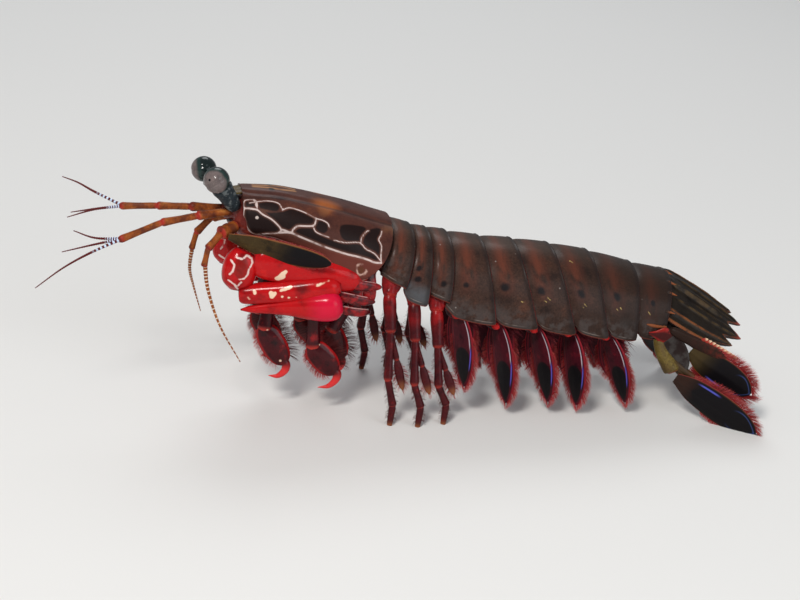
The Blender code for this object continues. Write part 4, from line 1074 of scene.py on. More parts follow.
# %% [markdown]
# ## Bristles
#
# Stiff red bristles edge every blade. Particle hair is the usual way, but is lost when a model is exported.
# So each bristle is a tapering mesh of ten points, thousands are joined into one coat, and a flat map with
# one square for each blade lets a colour be baked.

# %% One bristle, many times
RINGS_OF_A_BRISTLE = ((0.0, 1.0), (0.4, 0.8), (0.75, 0.5))  # share of the way, and width there
POINTS_OF_A_BRISTLE = 10
SIDE_FACES = ((0, 1, 4, 3), (1, 2, 5, 4), (2, 0, 3, 5), (3, 4, 7, 6), (4, 5, 8, 7), (5, 3, 6, 8))
END_FACES = ((6, 7, 9), (7, 8, 9), (8, 6, 9), (2, 1, 0))


def repeated(faces, count):
    """The faces of one bristle, for every bristle of a heap."""
    first = POINTS_OF_A_BRISTLE * np.arange(count)[:, None, None]
    return (np.array(faces)[None] + first).reshape(-1, len(faces[0])).tolist()


def bristles(heap, roots, aims, bends, lengths, widths, tones, marks):
    """Adds thin tapering bristles, each bent on its way."""
    count = len(roots)
    first = unit(np.cross(aims, vec(0.31, 0.52, 0.79)))
    second = np.cross(aims, first)
    rings = []
    for share, scale in RINGS_OF_A_BRISTLE:
        middle = roots + aims * (lengths * share)[:, None] + bends * (lengths * share**2)[:, None]
        for turn in (0.0, 2.1, 4.2):
            out = first * math.cos(turn) + second * math.sin(turn)
            rings.append(middle + out * (widths * scale)[:, None])
    rings.append(roots + aims * lengths[:, None] + bends * lengths[:, None])
    points = np.stack(rings, 1).reshape(-1, 3)
    faces = repeated(SIDE_FACES, count) + repeated(END_FACES, count)
    along = np.tile(np.repeat((0.0, 0.4, 0.75, 1.0), (3, 3, 3, 1)), count)
    heap.add((points, faces, along), tone=np.repeat(tones, POINTS_OF_A_BRISTLE), **marks)


print("faces of one bristle:", len(SIDE_FACES) + len(END_FACES))

# %% A coat of bristles
MAP_SIDE, MAP_USED, PATCH = 8, 0.96, 0.003


class Fringe:
    """A coat of bristles, with the root of each on a flat map of the blades."""

    def __init__(self, seed):
        self.heap, self.maps, self.cell, self.rng = Heap(), [], 0, np.random.default_rng(seed)

    def grow(self, roots, aims, bends, lengths, widths, places, **marks):
        bristles(self.heap, roots, aims, bends, lengths, widths, self.rng.random(len(roots)), marks)
        corner = np.tile([(0, 0), (1, 0), (0.5, 1)], (3, 1)).tolist() + [(0.5, 0.5)]
        patch = np.tile(np.array(corner) * PATCH, (len(roots), 1))
        column, row = self.cell % MAP_SIDE, self.cell // MAP_SIDE % MAP_SIDE
        place = (np.clip(places, 0, 1) * MAP_USED + (column, row)) / MAP_SIDE
        self.maps.append(np.repeat(place, POINTS_OF_A_BRISTLE, axis=0) + patch)

    def edge(self, blade, sign, count, length, start=0.3, end=1.0, lean=0.35, width=0.055, dark=0.0):
        """Bristles along one edge of a blade, in two close ranks."""
        share = np.sort(start + (end - start) * self.rng.random(count))
        points, out, run = blade.edge(sign, np.minimum(share, 0.985))
        rank = self.rng.choice((-1.0, 1.0), count)
        ends = np.clip((share - 0.8) / 0.2, 0, 1)[:, None]
        aims = unit(out * (1 - 0.5 * ends) + run * (lean + 0.5 * ends) + blade.up * (rank * 0.1)[:, None])
        aims = unit(aims + self.rng.normal(0, 0.07, (count, 3)))
        fade = np.minimum(1, 0.45 + 2.2 * (share - start))
        lengths = length * fade * self.rng.uniform(0.75, 1.1, count)
        bends = run * 0.1 + self.rng.normal(0, 0.05, (count, 3))
        places = np.stack([share, 0.5 + sign * 0.45 * lookup(blade.outline, share)], 1)
        self.grow(points - out * 0.12, aims, bends, lengths, np.full(count, width), places, dark=dark)

    def edges(self, blade, *sizes, **ways):
        """The same bristles along both edges, in a new square of the map."""
        self.cell += 1
        for sign in (1, -1):
            self.edge(blade, sign, *sizes, **ways)

    def show(self, name, slot):
        self.heap.show(name, "bristle", slot, uv=np.concatenate(self.maps))


def bristle_pattern(look):
    along, tone_mark = look.marks("along", "tone")
    look.tone = look.mix(along, (0.2, 0.008, 0.012),
                         look.mix(tone_mark, (0.52, 0.035, 0.05), (0.62, 0.16, 0.13)))
    dark = look.maths("MAXIMUM", look.mark("dark"), look.step(tone_mark, 0.85, 0.95))
    look.paint("dark bristles", (0.035, 0.008, 0.008), dark, 0.85)


finish("bristle", (0.4, 0.05, 0.05), (0.3, 0.03, 0.03), (0.5, 0.08, 0.07), 2.0, 0.45, bristle_pattern, 0.01)

# %% [markdown]
# ## The head under the shield
#
# The soft head, the mouth, two palps and red folds of skin are half hidden. Left out, they would leave gaps
# that show. Only parts of them are seen, so spheres, tubes and leaves sunk into each other are enough.

# %% Head, mouth and folds
def ball(centre, radius, axis, squash=1.0, rows=30, sides=36):
    """A sphere primitive, turned to an axis and squashed across it."""
    bpy.ops.object.select_all(action="DESELECT")
    bpy.ops.mesh.primitive_uv_sphere_add(segments=sides, ring_count=rows, radius=1)
    points, faces = taken(bpy.context.object)
    across = unit(ACROSS - axis * (axis @ ACROSS))
    turn = np.stack([across * squash, np.cross(axis, across), axis])
    return centre + points @ turn * radius, faces, (points[:, 2] + 1) / 2


FOLD_OUTLINE = ((0.0, 0.6), (0.2, 0.9), (0.5, 1.0), (0.8, 0.85), (0.95, 0.5), (1.0, 0.2))
FLANK_FOLDS = (  # soft red folds of skin between the claw and the first hands
    ((-19.0, 8.0, 40.0), (-17.4, 11.6, 29.0), 2.3),
    ((-15.2, 8.4, 40.4), (-13.8, 12.0, 27.0), 2.2),
    ((-11.4, 8.4, 39.4), (-10.4, 11.6, 29.0), 2.0),
    ((-20.0, 11.8, 35.4), (-7.8, 11.6, 33.6), 1.4),
    ((-19.4, 12.6, 32.2), (-9.2, 12.0, 30.0), 1.3),
    ((-18.6, 12.4, 28.6), (-10.0, 11.6, 27.2), 1.2),
)
PALP = ((-30, 2.8, 45), (-38.6, 2.4, 34.4), (-40.2, 2.4, 27.4))


def build_head():
    heap = Heap()
    path, sizes = [(-45.6, 0, 49.2), (-42.5, 0, 49.4)], [(2.6, 2.0), (4.2, 3.2)]
    for i in range(1, len(CARAPACE)):
        x, z, half_width, _ = CARAPACE[i]
        pitch = ridge_pitch(CARAPACE, i)
        depth = 5.2 * (0.78 + 0.3 * (x + 39.6) / 35)
        drop = CARAPACE_ROOF + 0.2 + depth
        path.append((x - drop * math.sin(pitch), 0, z - drop * math.cos(pitch)))
        sizes.append((min(half_width * 0.68, 8.4), depth))
    heap.add(loft(sweep(path, sizes, ACROSS, 60, 48, 2.3)))
    heap.add(ball(vec(-36.6, 0, 42.4), 3.5, vec(0, 0, -1), 1.15))
    for side in (LEFT, RIGHT):
        heap.add(ball(vec(-38.4, side * 2.2, 40.6), 1.9, vec(0, 0, -1), 0.7))
        joints = sided(PALP, side)
        upper = [joints[0], mix(joints[0], joints[1], 0.6), joints[1]]
        heap.add(loft(sweep(upper, [(0.9, 1.0)] * 2 + [(0.6, 0.7)], ACROSS)))
        lower = [joints[1], mix(joints[1], joints[2], 0.5), joints[2]]
        heap.add(loft(sweep(lower, [(0.6, 0.7), (0.8, 0.95), (0.35, 0.4)], ACROSS)))
    for side in (LEFT, RIGHT):
        for root, tip, width in FLANK_FOLDS:
            ends = sided((root, tip), side)
            fold = Blade(*ends, width, 1.5, vec(1, 0, 0.2), FOLD_OUTLINE, side * -0.9)
            form, across = fold.form(30, 28)
            heap.add(form, across=across, part=1)
    return heap


def head_pattern(look):
    part = look.mark("part")
    folds = look.step(part, 0.4, 0.6)
    look.paint("soft folds", look.mix(look.patches(2.2, 3, 0.4, 0.6), (0.3, 0.008, 0.01),
                                      (0.06, 0.004, 0.006)), folds)
    look.paint("pale rim", (0.62, 0.34, 0.32), folds,
               look.step(look.absolute(look.mark("across")), 0.9, 0.97),
               look.step(look.noise(1.5), 0.4, 0.55), 0.8)


finish("head", (0.14, 0.018, 0.014), (0.05, 0.008, 0.008), (0.26, 0.04, 0.025), 3.0, 0.25, head_pattern,
       0.1, 0.4, **WET)
build_head().show("head_body", "head", "limb", "head")

# %% [markdown]
# ## The rostral plate
#
# A small plate covers the roots of the eyes. It is hinged on the animal, so it is a leaf of its own and no
# tip of the carapace. The tail fan's stem has the same olive yellow finish, and its red end, skins and
# spines are layers that ask for the mark named part.

# %% Rostral plate
def build_rostral():
    heap = Heap()
    outline = ((0.0, 0.75), (0.25, 0.98), (0.6, 0.92), (0.85, 0.62), (1.0, 0.2))
    leaf = Blade((-40.6, 0, 54.35), (-46.0, 0, 53.6), 3.2, 1.1, ACROSS, outline, bow=0.0, rib=0.25)
    form, across = leaf.form()
    heap.add(form, across=across)
    return heap


def protopod_pattern(look):
    part, along = look.marks("part", "along")
    look.paint("brown clouds", (0.07, 0.04, 0.02), look.patches(3.2, 4, 0.4, 0.65), 0.6)
    look.paint("dark root", (0.045, 0.02, 0.012), look.step(along, 0.35, 0.0))
    look.paint("red end", (0.24, 0.05, 0.02), look.step(along, 0.88, 0.97), 0.8)
    spine = look.mix(look.step(along, 0.35, 0.85), (0.05, 0.03, 0.015), (0.45, 0.07, 0.03))
    look.paint("spines", spine, look.step(part, 0.4, 0.7))
    wet = look.both(look.step(look.absolute(look.mark("across")), 0.35, 0.8), look.patches(1.5, 3, 0.3, 0.5))
    look.paint("wet red skin", look.mix(wet, (0.05, 0.006, 0.006), (0.26, 0.014, 0.011)),
               look.step(part, 1.4, 1.7))
    misty = look.mix(look.patches(2.2, 4, 0.38, 0.62), (0.016, 0.009, 0.008), (0.04, 0.034, 0.032))
    look.paint("grey skin", misty, look.step(part, 2.4, 2.7))


finish("protopod", (0.14, 0.10, 0.026), (0.07, 0.048, 0.016), (0.20, 0.155, 0.045), 3.0, 0.3,
       protopod_pattern, **CLEAR)
build_rostral().show("rostral_shield", "protopod", "shell", "rostral_plate")

# %% [markdown]
# ## Eyes
#
# Each eye is a ball of tiny lenses with a banded middle, on a stalk that widens to a cup. A texture would
# turn with the ball. Here each point knows its distance over the band, so each eye can look its own way.

# %% Eyes
EYE_AT = {LEFT: (-48.2, 6.0, 58.2), RIGHT: (-49.8, 6.2, 57.3)}
EYE_RADIUS = 3.1
STALK_ROOT = (-43.0, 3.3, 50.6)
EYE_LOOKS = {LEFT: (-0.55, -0.75, 0.28), RIGHT: (-0.9, 0.25, 0.2)}


def build_eye(side):
    """The cornea, with how far each point lies over the middle band, in millimetres."""
    centre, root = sided((EYE_AT[side], STALK_ROOT), side)
    axis = unit(centre - root)
    look = vec(*EYE_LOOKS[side])
    look = unit(look - axis * (look @ axis) * 0.6)
    form = ball(centre, EYE_RADIUS, axis, 1.06, 72, 96)
    band = unit(np.cross(look, np.cross(axis, look)))
    turned = unit(band + np.cross(look, band) * 0.25)
    over = (form[0] - centre) @ turned
    facing = (form[0] - centre) @ look
    waist = 1 - 0.035 * np.exp(-((over / 0.45) ** 2)) * (facing > -1.5)
    points = centre + (form[0] - centre) * waist[:, None]
    heap = Heap()
    pupil = np.linalg.norm(points - centre - unit(look + turned * 0.42) * EYE_RADIUS, axis=1)
    heap.add((points, form[1], form[2]), over=over, facing=facing, pupil=pupil)
    return heap


def cornea_pattern(look):
    over, facing = look.marks("over", "facing")
    rows = look.maths("COSINE", look.times(over, 2 * math.pi / 0.24))
    middle = look.step(look.absolute(over), 0.75, 0.6)
    look.paint("dark rows", (0.05, 0.04, 0.04), middle, look.step(rows, 0.0, 0.8), 0.8)
    look.paint("dark spot", (0.006, 0.006, 0.008), look.step(look.mark("pupil"), 0.4, 0.24))
    edge = look.plus(facing, look.times(look.noise(1.5, 3), 0.6))
    look.paint("green rim", (0.016, 0.036, 0.033), look.step(edge, 2.1, 1.1))
    look.paint("black rear", (0.008, 0.014, 0.014), look.step(edge, 0.9, 0.3))
    facets = look.step(look.cells(0.16), 0.1, 0.5)
    look.rough = look.plus(look.times(facets, 0.05), 0.16)
    look.height = look.times(facets, -0.5)


finish("cornea", (0.16, 0.125, 0.12), (0.10, 0.082, 0.082), (0.22, 0.165, 0.15), 2.5, 0.2, cornea_pattern,
       0.015, 0.3, Coat_Weight=0.3, Coat_Roughness=0.05)
show_pair(build_eye, "cornea", "cornea", "cornea", "eye")

# %% Eyestalks
def build_stalk(side):
    """The eyestalk: a narrow neck that widens to a cup under the cornea."""
    centre, root = sided((EYE_AT[side], STALK_ROOT), side)
    heap = Heap()
    shares = (0.0, 0.12, 0.35, 0.55, 0.72, 0.82)
    sizes = [(1.6 * s, 1.6 * s) for s in (0.85, 1.15, 1.3, 1.42, 1.62, 1.25)]
    heap.add(loft(sweep([mix(root, centre, s) for s in shares], sizes, ACROSS, 30, 32)))
    heap.add(ball(mix(root, centre, 0.3), 1.95, unit(centre - root), 1.1, 18, 24))
    return heap


def stalk_pattern(look):
    pale = look.patches(1.1, 3, 0.52, 0.62)
    look.paint("pale specks", (0.15, 0.165, 0.165), pale, 0.7)


finish("stalk", (0.024, 0.032, 0.038), (0.010, 0.014, 0.018), (0.05, 0.06, 0.064), 1.8, 0.4, stalk_pattern,
       0.06)
show_pair(build_stalk, "stalk", "stalk", "stalk", "eyestalk")

# %% [markdown]
# ## Feelers
#
# Each feeler has three stiff segments and thin whips of many short rings. A curve with a bevel would be
# smooth as wire, so a wave in the radius makes the rings. Living feelers never match, so left and right
# have their own places.

# %% Places of the feelers
ANTENNULE_JOINTS = {
    LEFT: ((-43.5, 2.6, 49.6), (-52.0, 3.6, 48.6), (-60.5, 4.8, 47.2), (-70.3, 7.0, 43.6)),
    RIGHT: ((-43.5, 2.6, 48.6), (-53.0, 3.0, 48.8), (-60.8, 3.9, 48.6), (-69.4, 5.2, 48.0)),
}
FLAGELLA = {
    LEFT: (
        ((-77.3, 9.0, 40.9), (-83.6, 11.2, 37.9), (-89.9, 14.0, 34.0)),
        ((-76.5, 7.4, 42.4), (-83.8, 9.0, 41.1)),
        ((-76.0, 5.4, 43.4), (-81.0, 4.4, 44.8)),
    ),
    RIGHT: (
        ((-75.4, 8.0, 50.5), (-79.4, 10.0, 52.2), (-83.0, 12.4, 52.9)),
        ((-75.5, 5.6, 46.9), (-82.0, 6.4, 44.6)),
        ((-75.4, 3.4, 47.8), (-81.4, 1.6, 47.4)),
    ),
}
ANTENNA_JOINTS = {
    LEFT: ((-43.0, 5.0, 46.6), (-46.8, 7.6, 45.6), (-50.0, 10.0, 42.6), (-50.9, 11.2, 38.6)),
    RIGHT: ((-43.0, 5.0, 46.6), (-46.8, 7.2, 45.4), (-50.6, 8.2, 40.6), (-51.6, 8.6, 36.2)),
}
ANTENNA_WHIP = {
    LEFT: ((-49.8, 12.0, 33.0), (-46.6, 12.4, 24.0), (-41.2, 12.0, 14.5)),
    RIGHT: ((-51.8, 9.2, 31.0), (-50.6, 9.4, 26.0), (-48.6, 9.4, 19.5)),
}
SEGMENT = ((0.0, 0.55), (0.06, 0.8), (0.2, 0.86), (0.5, 0.84), (0.8, 0.95), (0.93, 1.0), (1.0, 0.62))
print("whips on each first feeler:", len(FLAGELLA[LEFT]))


# %% Segments and whips
def segment(start, end, width, depth, side, profile=SEGMENT, rows=22, sides=20, overlap=0.04):
    """One hard segment of a limb, a little wider at its far end, as limbs of shelled animals are."""
    shares = np.linspace(0, 1, rows)
    path = mix(start, end, (shares * (1 + 2 * overlap) - overlap)[:, None])
    scale = lookup(profile, shares)
    return loft(sweep(path, np.stack([width * scale, depth * scale], 1), side, rows, sides))


def whip(points, thick, thin, side, rows=90, sides=8, rings=1.1):
    """A feeler's whip: many short ringed joints, thinner towards the tip."""
    table = through(points, np.linspace(0, len(points) - 1, rows))
    length = np.linalg.norm(np.diff(table, axis=0), axis=1).sum()
    share = np.linspace(0, 1, rows)
    radius = (thick + (thin - thick) * share) * (1 + 0.12 * np.cos(share * length / rings * 2 * math.pi * 2))
    return loft(sweep(table, np.stack([radius, radius], 1), side, rows, sides))


print("points of a short segment:", len(segment(vec(0, 0, 0), vec(0, 0, 9), 1, 1, ACROSS)[0]))


# %% Feelers
def build_antennule(side):
    joints = sided(ANTENNULE_JOINTS[side], side)
    heap = Heap()
    for k, radius in enumerate((1.15, 1.0, 0.92)):
        heap.add(segment(joints[k], joints[k + 1], radius, radius, ACROSS), part=k)
    start = mix(joints[-2], joints[-1], 0.94)
    for points in FLAGELLA[side]:
        heap.add(whip([start, *sided(points, side)], 0.4, 0.11, ACROSS), part=5)
    return heap


def build_antenna(side):
    joints = sided(ANTENNA_JOINTS[side], side)
    across = vec(1, 0, 0)
    heap = Heap()
    for k, radius in enumerate((1.7, 1.0, 0.8)):
        heap.add(segment(joints[k], joints[k + 1], radius, radius, across), part=k + 1)
    points = [mix(joints[-2], joints[-1], 0.8), *sided(ANTENNA_WHIP[side], side)]
    heap.add(whip(points, 0.55, 0.12, across, 160), part=6)
    return heap


def feeler_pattern(look):
    part, along = look.marks("part", "along")
    look.paint("red joints", (0.34, 0.03, 0.02), look.step(look.apart(along, 0.5), 0.34, 0.46),
               look.step(part, 3.5, 3.2))
    look.paint("brown clouds", (0.085, 0.02, 0.012), look.patches(2.6, 4, 0.46, 0.62),
               look.step(part, 3.5, 3.2), 0.75)
    first, second = look.band(part, 5.0, 0.3, 0.1), look.step(part, 5.6, 5.9)
    look.paint("dark whips", (0.1, 0.012, 0.012), first)
    waves = look.maths("SINE", look.times(along, 150.0))
    look.paint("pale blue rings", (0.55, 0.66, 0.82), first, look.step(waves, -0.1, 0.3),
               look.step(along, 0.34, 0.24))
    look.paint("cream rings", (0.75, 0.66, 0.55), second, look.step(waves, 0.55, 0.9))


finish("feeler", (0.26, 0.066, 0.014), (0.09, 0.02, 0.009), (0.46, 0.17, 0.04), 2.2, 0.32, feeler_pattern,
       0.03, 0.4)
show_pair(build_antennule, "first_feeler", "feeler", "feeler", "antennule")
show_pair(build_antenna, "second_feeler", "feeler", "feeler", "antenna")

# %% [markdown]
# ## Feeler scales
#
# Beside each second feeler an oval scale, half olive and half black, helps to steer. It could be cut from a
# plane, but it is a blade like the others, with short bristles that lean to the tip.

# %% Feeler scales
SCALE_ROOT, SCALE_TIP = (-45.2, 9.4, 45.4), (-21.4, 15.9, 41.0)
SCALE_OUTLINE = ((0.0, 0.3), (0.06, 0.45), (0.25, 0.86), (0.5, 1.0), (0.75, 0.92), (0.92, 0.6), (1.0, 0.15))
SCALE_FRINGE = Fringe(1)


def build_scale(side):
    flat = unit(vec(0.1, side * 0.42, 1.0))
    root, tip = sided((SCALE_ROOT, SCALE_TIP), side)
    blade = Blade(root, tip, 3.1, 0.8, flat, SCALE_OUTLINE, bow=side * -0.6, rib=0.12)
    form, across = blade.form(60, 48)
    heap = Heap()
    heap.add(form, across=across * side)
    SCALE_FRINGE.edges(blade, 260, 0.9, 0.15, lean=0.9, width=0.035)
    return heap


def scale_pattern(look):
    along, away = look.mark("along"), look.absolute(look.mark("across"))
    look.paint("black rear half", BLACK, look.step(along, 0.34, 0.66), look.step(away, 0.98, 0.8))
    look.paint("rusty edge", (0.24, 0.08, 0.03), look.step(away, 0.86, 0.99))


finish("scale", (0.050, 0.031, 0.011), (0.020, 0.013, 0.007), (0.10, 0.068, 0.02), 3.0, 0.42, scale_pattern,
       0.04, 0.3)
show_pair(build_scale, "feeler_scale", "scale", "fan", "antennal_scale")
SCALE_FRINGE.show("feeler_bristles", "fan")

# %% [markdown]
# ## The striking claw
#
# The claw is folded: a swollen red heel strikes, and the point lies in front. Box modelling with a
# Subdivision Surface is the usual way. A row of centres with width and depth says the same in fewer
# numbers.

# %% Sizes of the claw
CLAW = {
    "merus": (
        ((-10.5, 8.2, 36.4), (-12.6, 9.8, 36.0), (-15.0, 11.4, 35.6), (-18.5, 11.4, 36.1),
         (-24, 10.9, 37.0), (-29, 10.5, 38.0), (-34.0, 10.2, 38.8), (-37.6, 10.0, 39.3), (-39.2, 10, 39.5)),
        ((1.5, 1.8), (1.95, 2.3), (2.2, 2.8), (2.5, 3.5), (2.7, 4.1), (2.7, 4.35), (2.6, 4.2), (2.3, 3.6),
         (1.3, 2.2)),
    ),
    "carpus": (
        ((-41.2, 9.35, 42.1), (-41.5, 9.3, 41.2), (-41.8, 9.25, 39.4), (-42.2, 9.2, 36.6),
         (-42.6, 9.1, 34.0), (-42.85, 9.0, 32.2)),
        ((1.0, 1.5), (2.1, 2.9), (2.9, 3.9), (3.1, 4.2), (2.7, 3.6), (1.2, 1.7)),
    ),
    "propodus": (
        ((-42.0, 9.6, 30.9), (-41.2, 9.8, 31.0), (-38, 10.4, 31.5), (-33, 11.3, 32.2), (-28, 12.2, 32.9),
         (-23, 13.1, 33.7), (-19.8, 13.7, 34.2), (-18.2, 14, 34.4)),
        ((1.1, 1.3), (2.0, 2.2), (2.2, 2.5), (2.45, 2.7), (2.6, 2.95), (2.5, 3.0), (2.0, 2.4), (0.8, 1.0)),
    ),
    "dactyl": (
        ((-17.7, 15.2, 30.3), (-18.2, 15.1, 30.2), (-19.3, 14.9, 30.05), (-20.8, 14.6, 29.9),
         (-23.0, 14.1, 29.6), (-26.0, 13.4, 29.3), (-30, 12.6, 28.9), (-35, 11.4, 28.2), (-39, 10.6, 27.6),
         (-41.5, 10, 27.2)),
        ((0.9, 1.1), (2.0, 2.3), (2.9, 3.3), (3.2, 3.7), (3.1, 3.6), (2.7, 3.1), (1.9, 2.2), (1.25, 1.45),
         (0.8, 0.9), (0.2, 0.2)),
    ),
}
print("segments of the claw:", ", ".join(CLAW))

# %% [markdown]
# ## Spots and lines of the claw
#
# Cream spots lie on the outer face, and a pale line loops over the wrist. They are too exact for noise.
# Each is a short line in space, and a point near enough to it is painted.

# %% Spots and lines of the claw
CREAM_SPOTS = (  # two ends on the outer face, and the half width
    ((-33.3, 12.6, 36.2), (-31.7, 12.7, 37.9), 0.55), ((-33.4, 12.6, 36.0), (-32.4, 12.7, 36.6), 0.75),
    ((-32.6, 13.7, 33.5), (-30.4, 14.0, 34.5), 0.4), ((-24.2, 14.9, 35.2), (-21.4, 14.5, 36.0), 0.42),
    ((-35.0, 13.4, 32.7), (-34.6, 13.5, 31.9), 0.55), ((-34.6, 13.5, 31.9), (-34.1, 13.6, 32.6), 0.5),
    ((-38.9, 12.5, 32.9), (-38.7, 12.5, 32.3), 0.42), ((-40.2, 12.4, 31.1), (-39.9, 12.4, 30.7), 0.35),
    ((-32.3, 14.0, 32.0), (-32.2, 14.0, 32.0), 0.2), ((-30.7, 14.2, 31.9), (-30.6, 14.2, 31.9), 0.2),
    ((-29.1, 14.5, 32.2), (-29.0, 14.5, 32.2), 0.2), ((-26.0, 15.2, 31.0), (-25.8, 15.2, 31.0), 0.28),
    ((-22.5, 16.9, 31.4), (-22.3, 16.9, 31.4), 0.28), ((-20.7, 16.2, 32.4), (-20.5, 16.2, 32.4), 0.32),
)
WRIST_LINES = (
    ((-43.2, 40.9), (-42.0, 40.6), (-40.9, 41.3), (-39.7, 40.6), (-39.5, 39.6), (-40.3, 38.2),
     (-40.6, 36.9), (-41.5, 35.8), (-42.6, 35.7)),
    ((-44.6, 40.2), (-43.8, 39.2), (-44.2, 37.6), (-44.8, 36.8)),
    ((-45.0, 35.2), (-43.6, 34.3), (-42.6, 32.8)),
    ((-42.0, 35.0), (-42.9, 33.8)),
)
PATCH_AT, PATCH_SIZE = (-27.8, 14.5, 34.4), (2.0, 1.5, 1.2)
WEB_AT, WEB_SIZE, WRIST_MIDDLE = (-42.2, 12, 38.4), (1.9, 9, 2.6), 9.2


def claw_marks(part, form, side):
    """Distances from the pale spots and lines on the claw's outer face."""
    points = form[0] * (1, side, 1)
    spot, loop = np.full(len(points), NOTHING_NEAR), np.full(len(points), NOTHING_NEAR)
    heel, web = np.zeros(len(points)), np.zeros(len(points))
    for first, second, half in CREAM_SPOTS:
        spot = np.minimum(spot, to_line(points, (first, second)) - half)
    if part == "carpus":
        outer = np.abs(points[:, 1] - WRIST_MIDDLE) > 0.25
        web = (outer * np.linalg.norm((points - WEB_AT) / WEB_SIZE, axis=1) < 1) * 1.0
        for line in WRIST_LINES:
            loop = np.minimum(loop, np.where(outer, to_line(points[:, [0, 2]], line), NOTHING_NEAR))
    if part == "dactyl":
        heel = np.clip((points[:, 0] + 27.0) / 4.0, 0, 1)
    patch = np.linalg.norm((points - PATCH_AT) / PATCH_SIZE, axis=1)
    ends = np.minimum(form[2], 1 - form[2]) * 20
    return {"spot": spot, "loop": loop, "heel": heel, "web": web, "patch": patch, "ends": ends}


print("cream spots:", len(CREAM_SPOTS))

# %% Claw finish, and the claws
def build_claw_part(part, side):
    points, sizes = CLAW[part]
    form = loft(sweep(sided(points, side), sizes, ACROSS, 109, 72, 2.25))
    heap = Heap()
    heap.add(form, **claw_marks(part, form, side))
    return heap


def claw_pattern(look):
    look.paint("dark patch", (0.09, 0.006, 0.006), look.step(look.mark("patch"), 1.4, 0.3), 0.8)
    look.paint("pink heel", (0.6, 0.006, 0.035), look.mark("heel"))
    wobble = look.times(look.minus(look.noise(1.6, 3), 0.5), 1.0)
    loop = look.plus(look.mark("loop"), look.times(look.absolute(wobble), 0.8))
    look.paint("dark web", (0.16, 0.012, 0.008), look.step(look.mark("web"), 0.4, 1.0), 0.55)
    look.paint("pale lines", (0.76, 0.6, 0.55), look.step(loop, 0.36, 0.16), 0.9)
    spot = look.plus(look.mark("spot"), look.times(wobble, 0.7))
    look.paint("cream spots", (0.8, 0.58, 0.42), look.step(spot, 0.1, -0.1))
    look.paint("dark joints", (0.12, 0.006, 0.008), look.step(look.mark("ends"), 0.6, 0.1), 0.6)


finish("claw", (0.44, 0.005, 0.007), (0.19, 0.003, 0.004), (0.60, 0.012, 0.010), 5.0, 0.14, claw_pattern,
       0.1, 0.06, Coat_Weight=0.2, Coat_Roughness=0.14, Subsurface_Weight=0.06, Subsurface_Scale=0.0006)
for part in CLAW:
    show_pair(lambda side: build_claw_part(part, side), f"claw_{part}", "claw", "claw", f"raptorial_{part}")

# %% [markdown]
# ## Grasping limbs
#
# Three pairs of smaller limbs turn the food, each with a round flat hand and a hook. A squashed sphere
# would do for the hand, but its rim carries bristles, so it is a blade whose edge is known.

# %% Arms, hands and hooks
GRASPERS = {
    "maxilliped_3": ((-24.0, 4.2, 41.0), (-33.5, 4.6, 31.0), (-36.2, 5.6, 23.0), (-29.4, 6.6, 11.8),
                     (-33.2, 6.6, 8.6)),
    "maxilliped_4": ((-17.0, 4.6, 39.0), (-23.4, 8.4, 28.4), (-24.8, 9.4, 19.0), (-17.2, 10.0, 10.6),
                     (-21.4, 10.0, 6.8)),
    "maxilliped_5": ((-10.0, 4.8, 37.4), (-13.0, 6.2, 29.6), (-19.2, 6.4, 22.4), (-15.4, 6.2, 12.6),
                     (-19.0, 6.0, 9.8)),
}
HAND = ((0.0, 0.35), (0.06, 0.6), (0.2, 0.9), (0.45, 1.0), (0.7, 0.95), (0.9, 0.7), (1.0, 0.35))
HAND_FRINGE = Fringe(2)


def build_grasper(name, side, fringe):
    """An arm of two segments, a round flat hand edged with bristles, and a hooked claw."""
    root, knee, wrist, hand_end, claw_tip = sided(GRASPERS[name], side)
    along = unit(hand_end - wrist)
    broad = unit(np.cross(along, ACROSS))
    heap = Heap()
    heap.add(segment(root, knee, 1.25, 1.5, ACROSS), part=0)
    wrist = mix(wrist, hand_end, 0.22)
    heap.add(segment(knee, wrist, 1.4, 1.85, ACROSS), part=1)
    hand = Blade(wrist - along * 1.2, hand_end, 3.2, 2.3, broad, HAND, rib=0.15)
    form, across = hand.form(40, 36)
    heap.add(form, across=across, part=2)
    out = unit(hand_end - claw_tip - along * (along @ (hand_end - claw_tip)))
    first, second = (mix(hand_end, claw_tip, s) + along * 1.5 for s in (0.3, 0.62))
    path = [mix(wrist, hand_end, 0.86), hand_end + along * 0.4 + out * 0.2, first + out * 0.5, second,
            claw_tip]
    sizes = [(0.8, 0.9), (0.95, 1.1), (0.75, 0.95), (0.5, 0.6), (0.06, 0.08)]
    heap.add(loft(sweep(path, sizes, ACROSS, 44, 18)), part=3)
    fringe.cell += 1
    fringe.edge(hand, 1, 150, 3.0, 0.03, 0.92, lean=0.25, width=0.04, dark=1.0)
    fringe.edge(hand, -1, 150, 1.7, 0.03, 0.92, lean=0.45, width=0.045)
    arm = Blade(knee, wrist, 1.5, 1.5, broad)
    for sign in (1, -1):
        fringe.edge(arm, sign, 80, 3.2, 0.2, 0.95, lean=0.2, width=0.04, dark=1.0)
    return heap


def hand_pattern(look):
    part, along = look.marks("part", "along")
    hand = look.band(part, 2.0, 0.3, 0.1)
    look.paint("red rim of the hand", (0.42, 0.012, 0.012), hand,
               look.step(look.absolute(look.mark("across")), 0.72, 0.98), 0.8)
    look.paint("red hook", (0.62, 0.03, 0.03), look.step(part, 2.6, 2.9), look.step(along, 0.1, 0.5))
    look.paint("red joints", (0.45, 0.03, 0.02), look.step(part, 1.6, 1.3),
               look.step(look.apart(along, 0.5), 0.36, 0.48))
    look.paint("cream dots", (0.75, 0.5, 0.36), look.step(look.cells(3.3), 0.12, 0.07),
               look.step(part, 2.5, 2.2), 0.85)


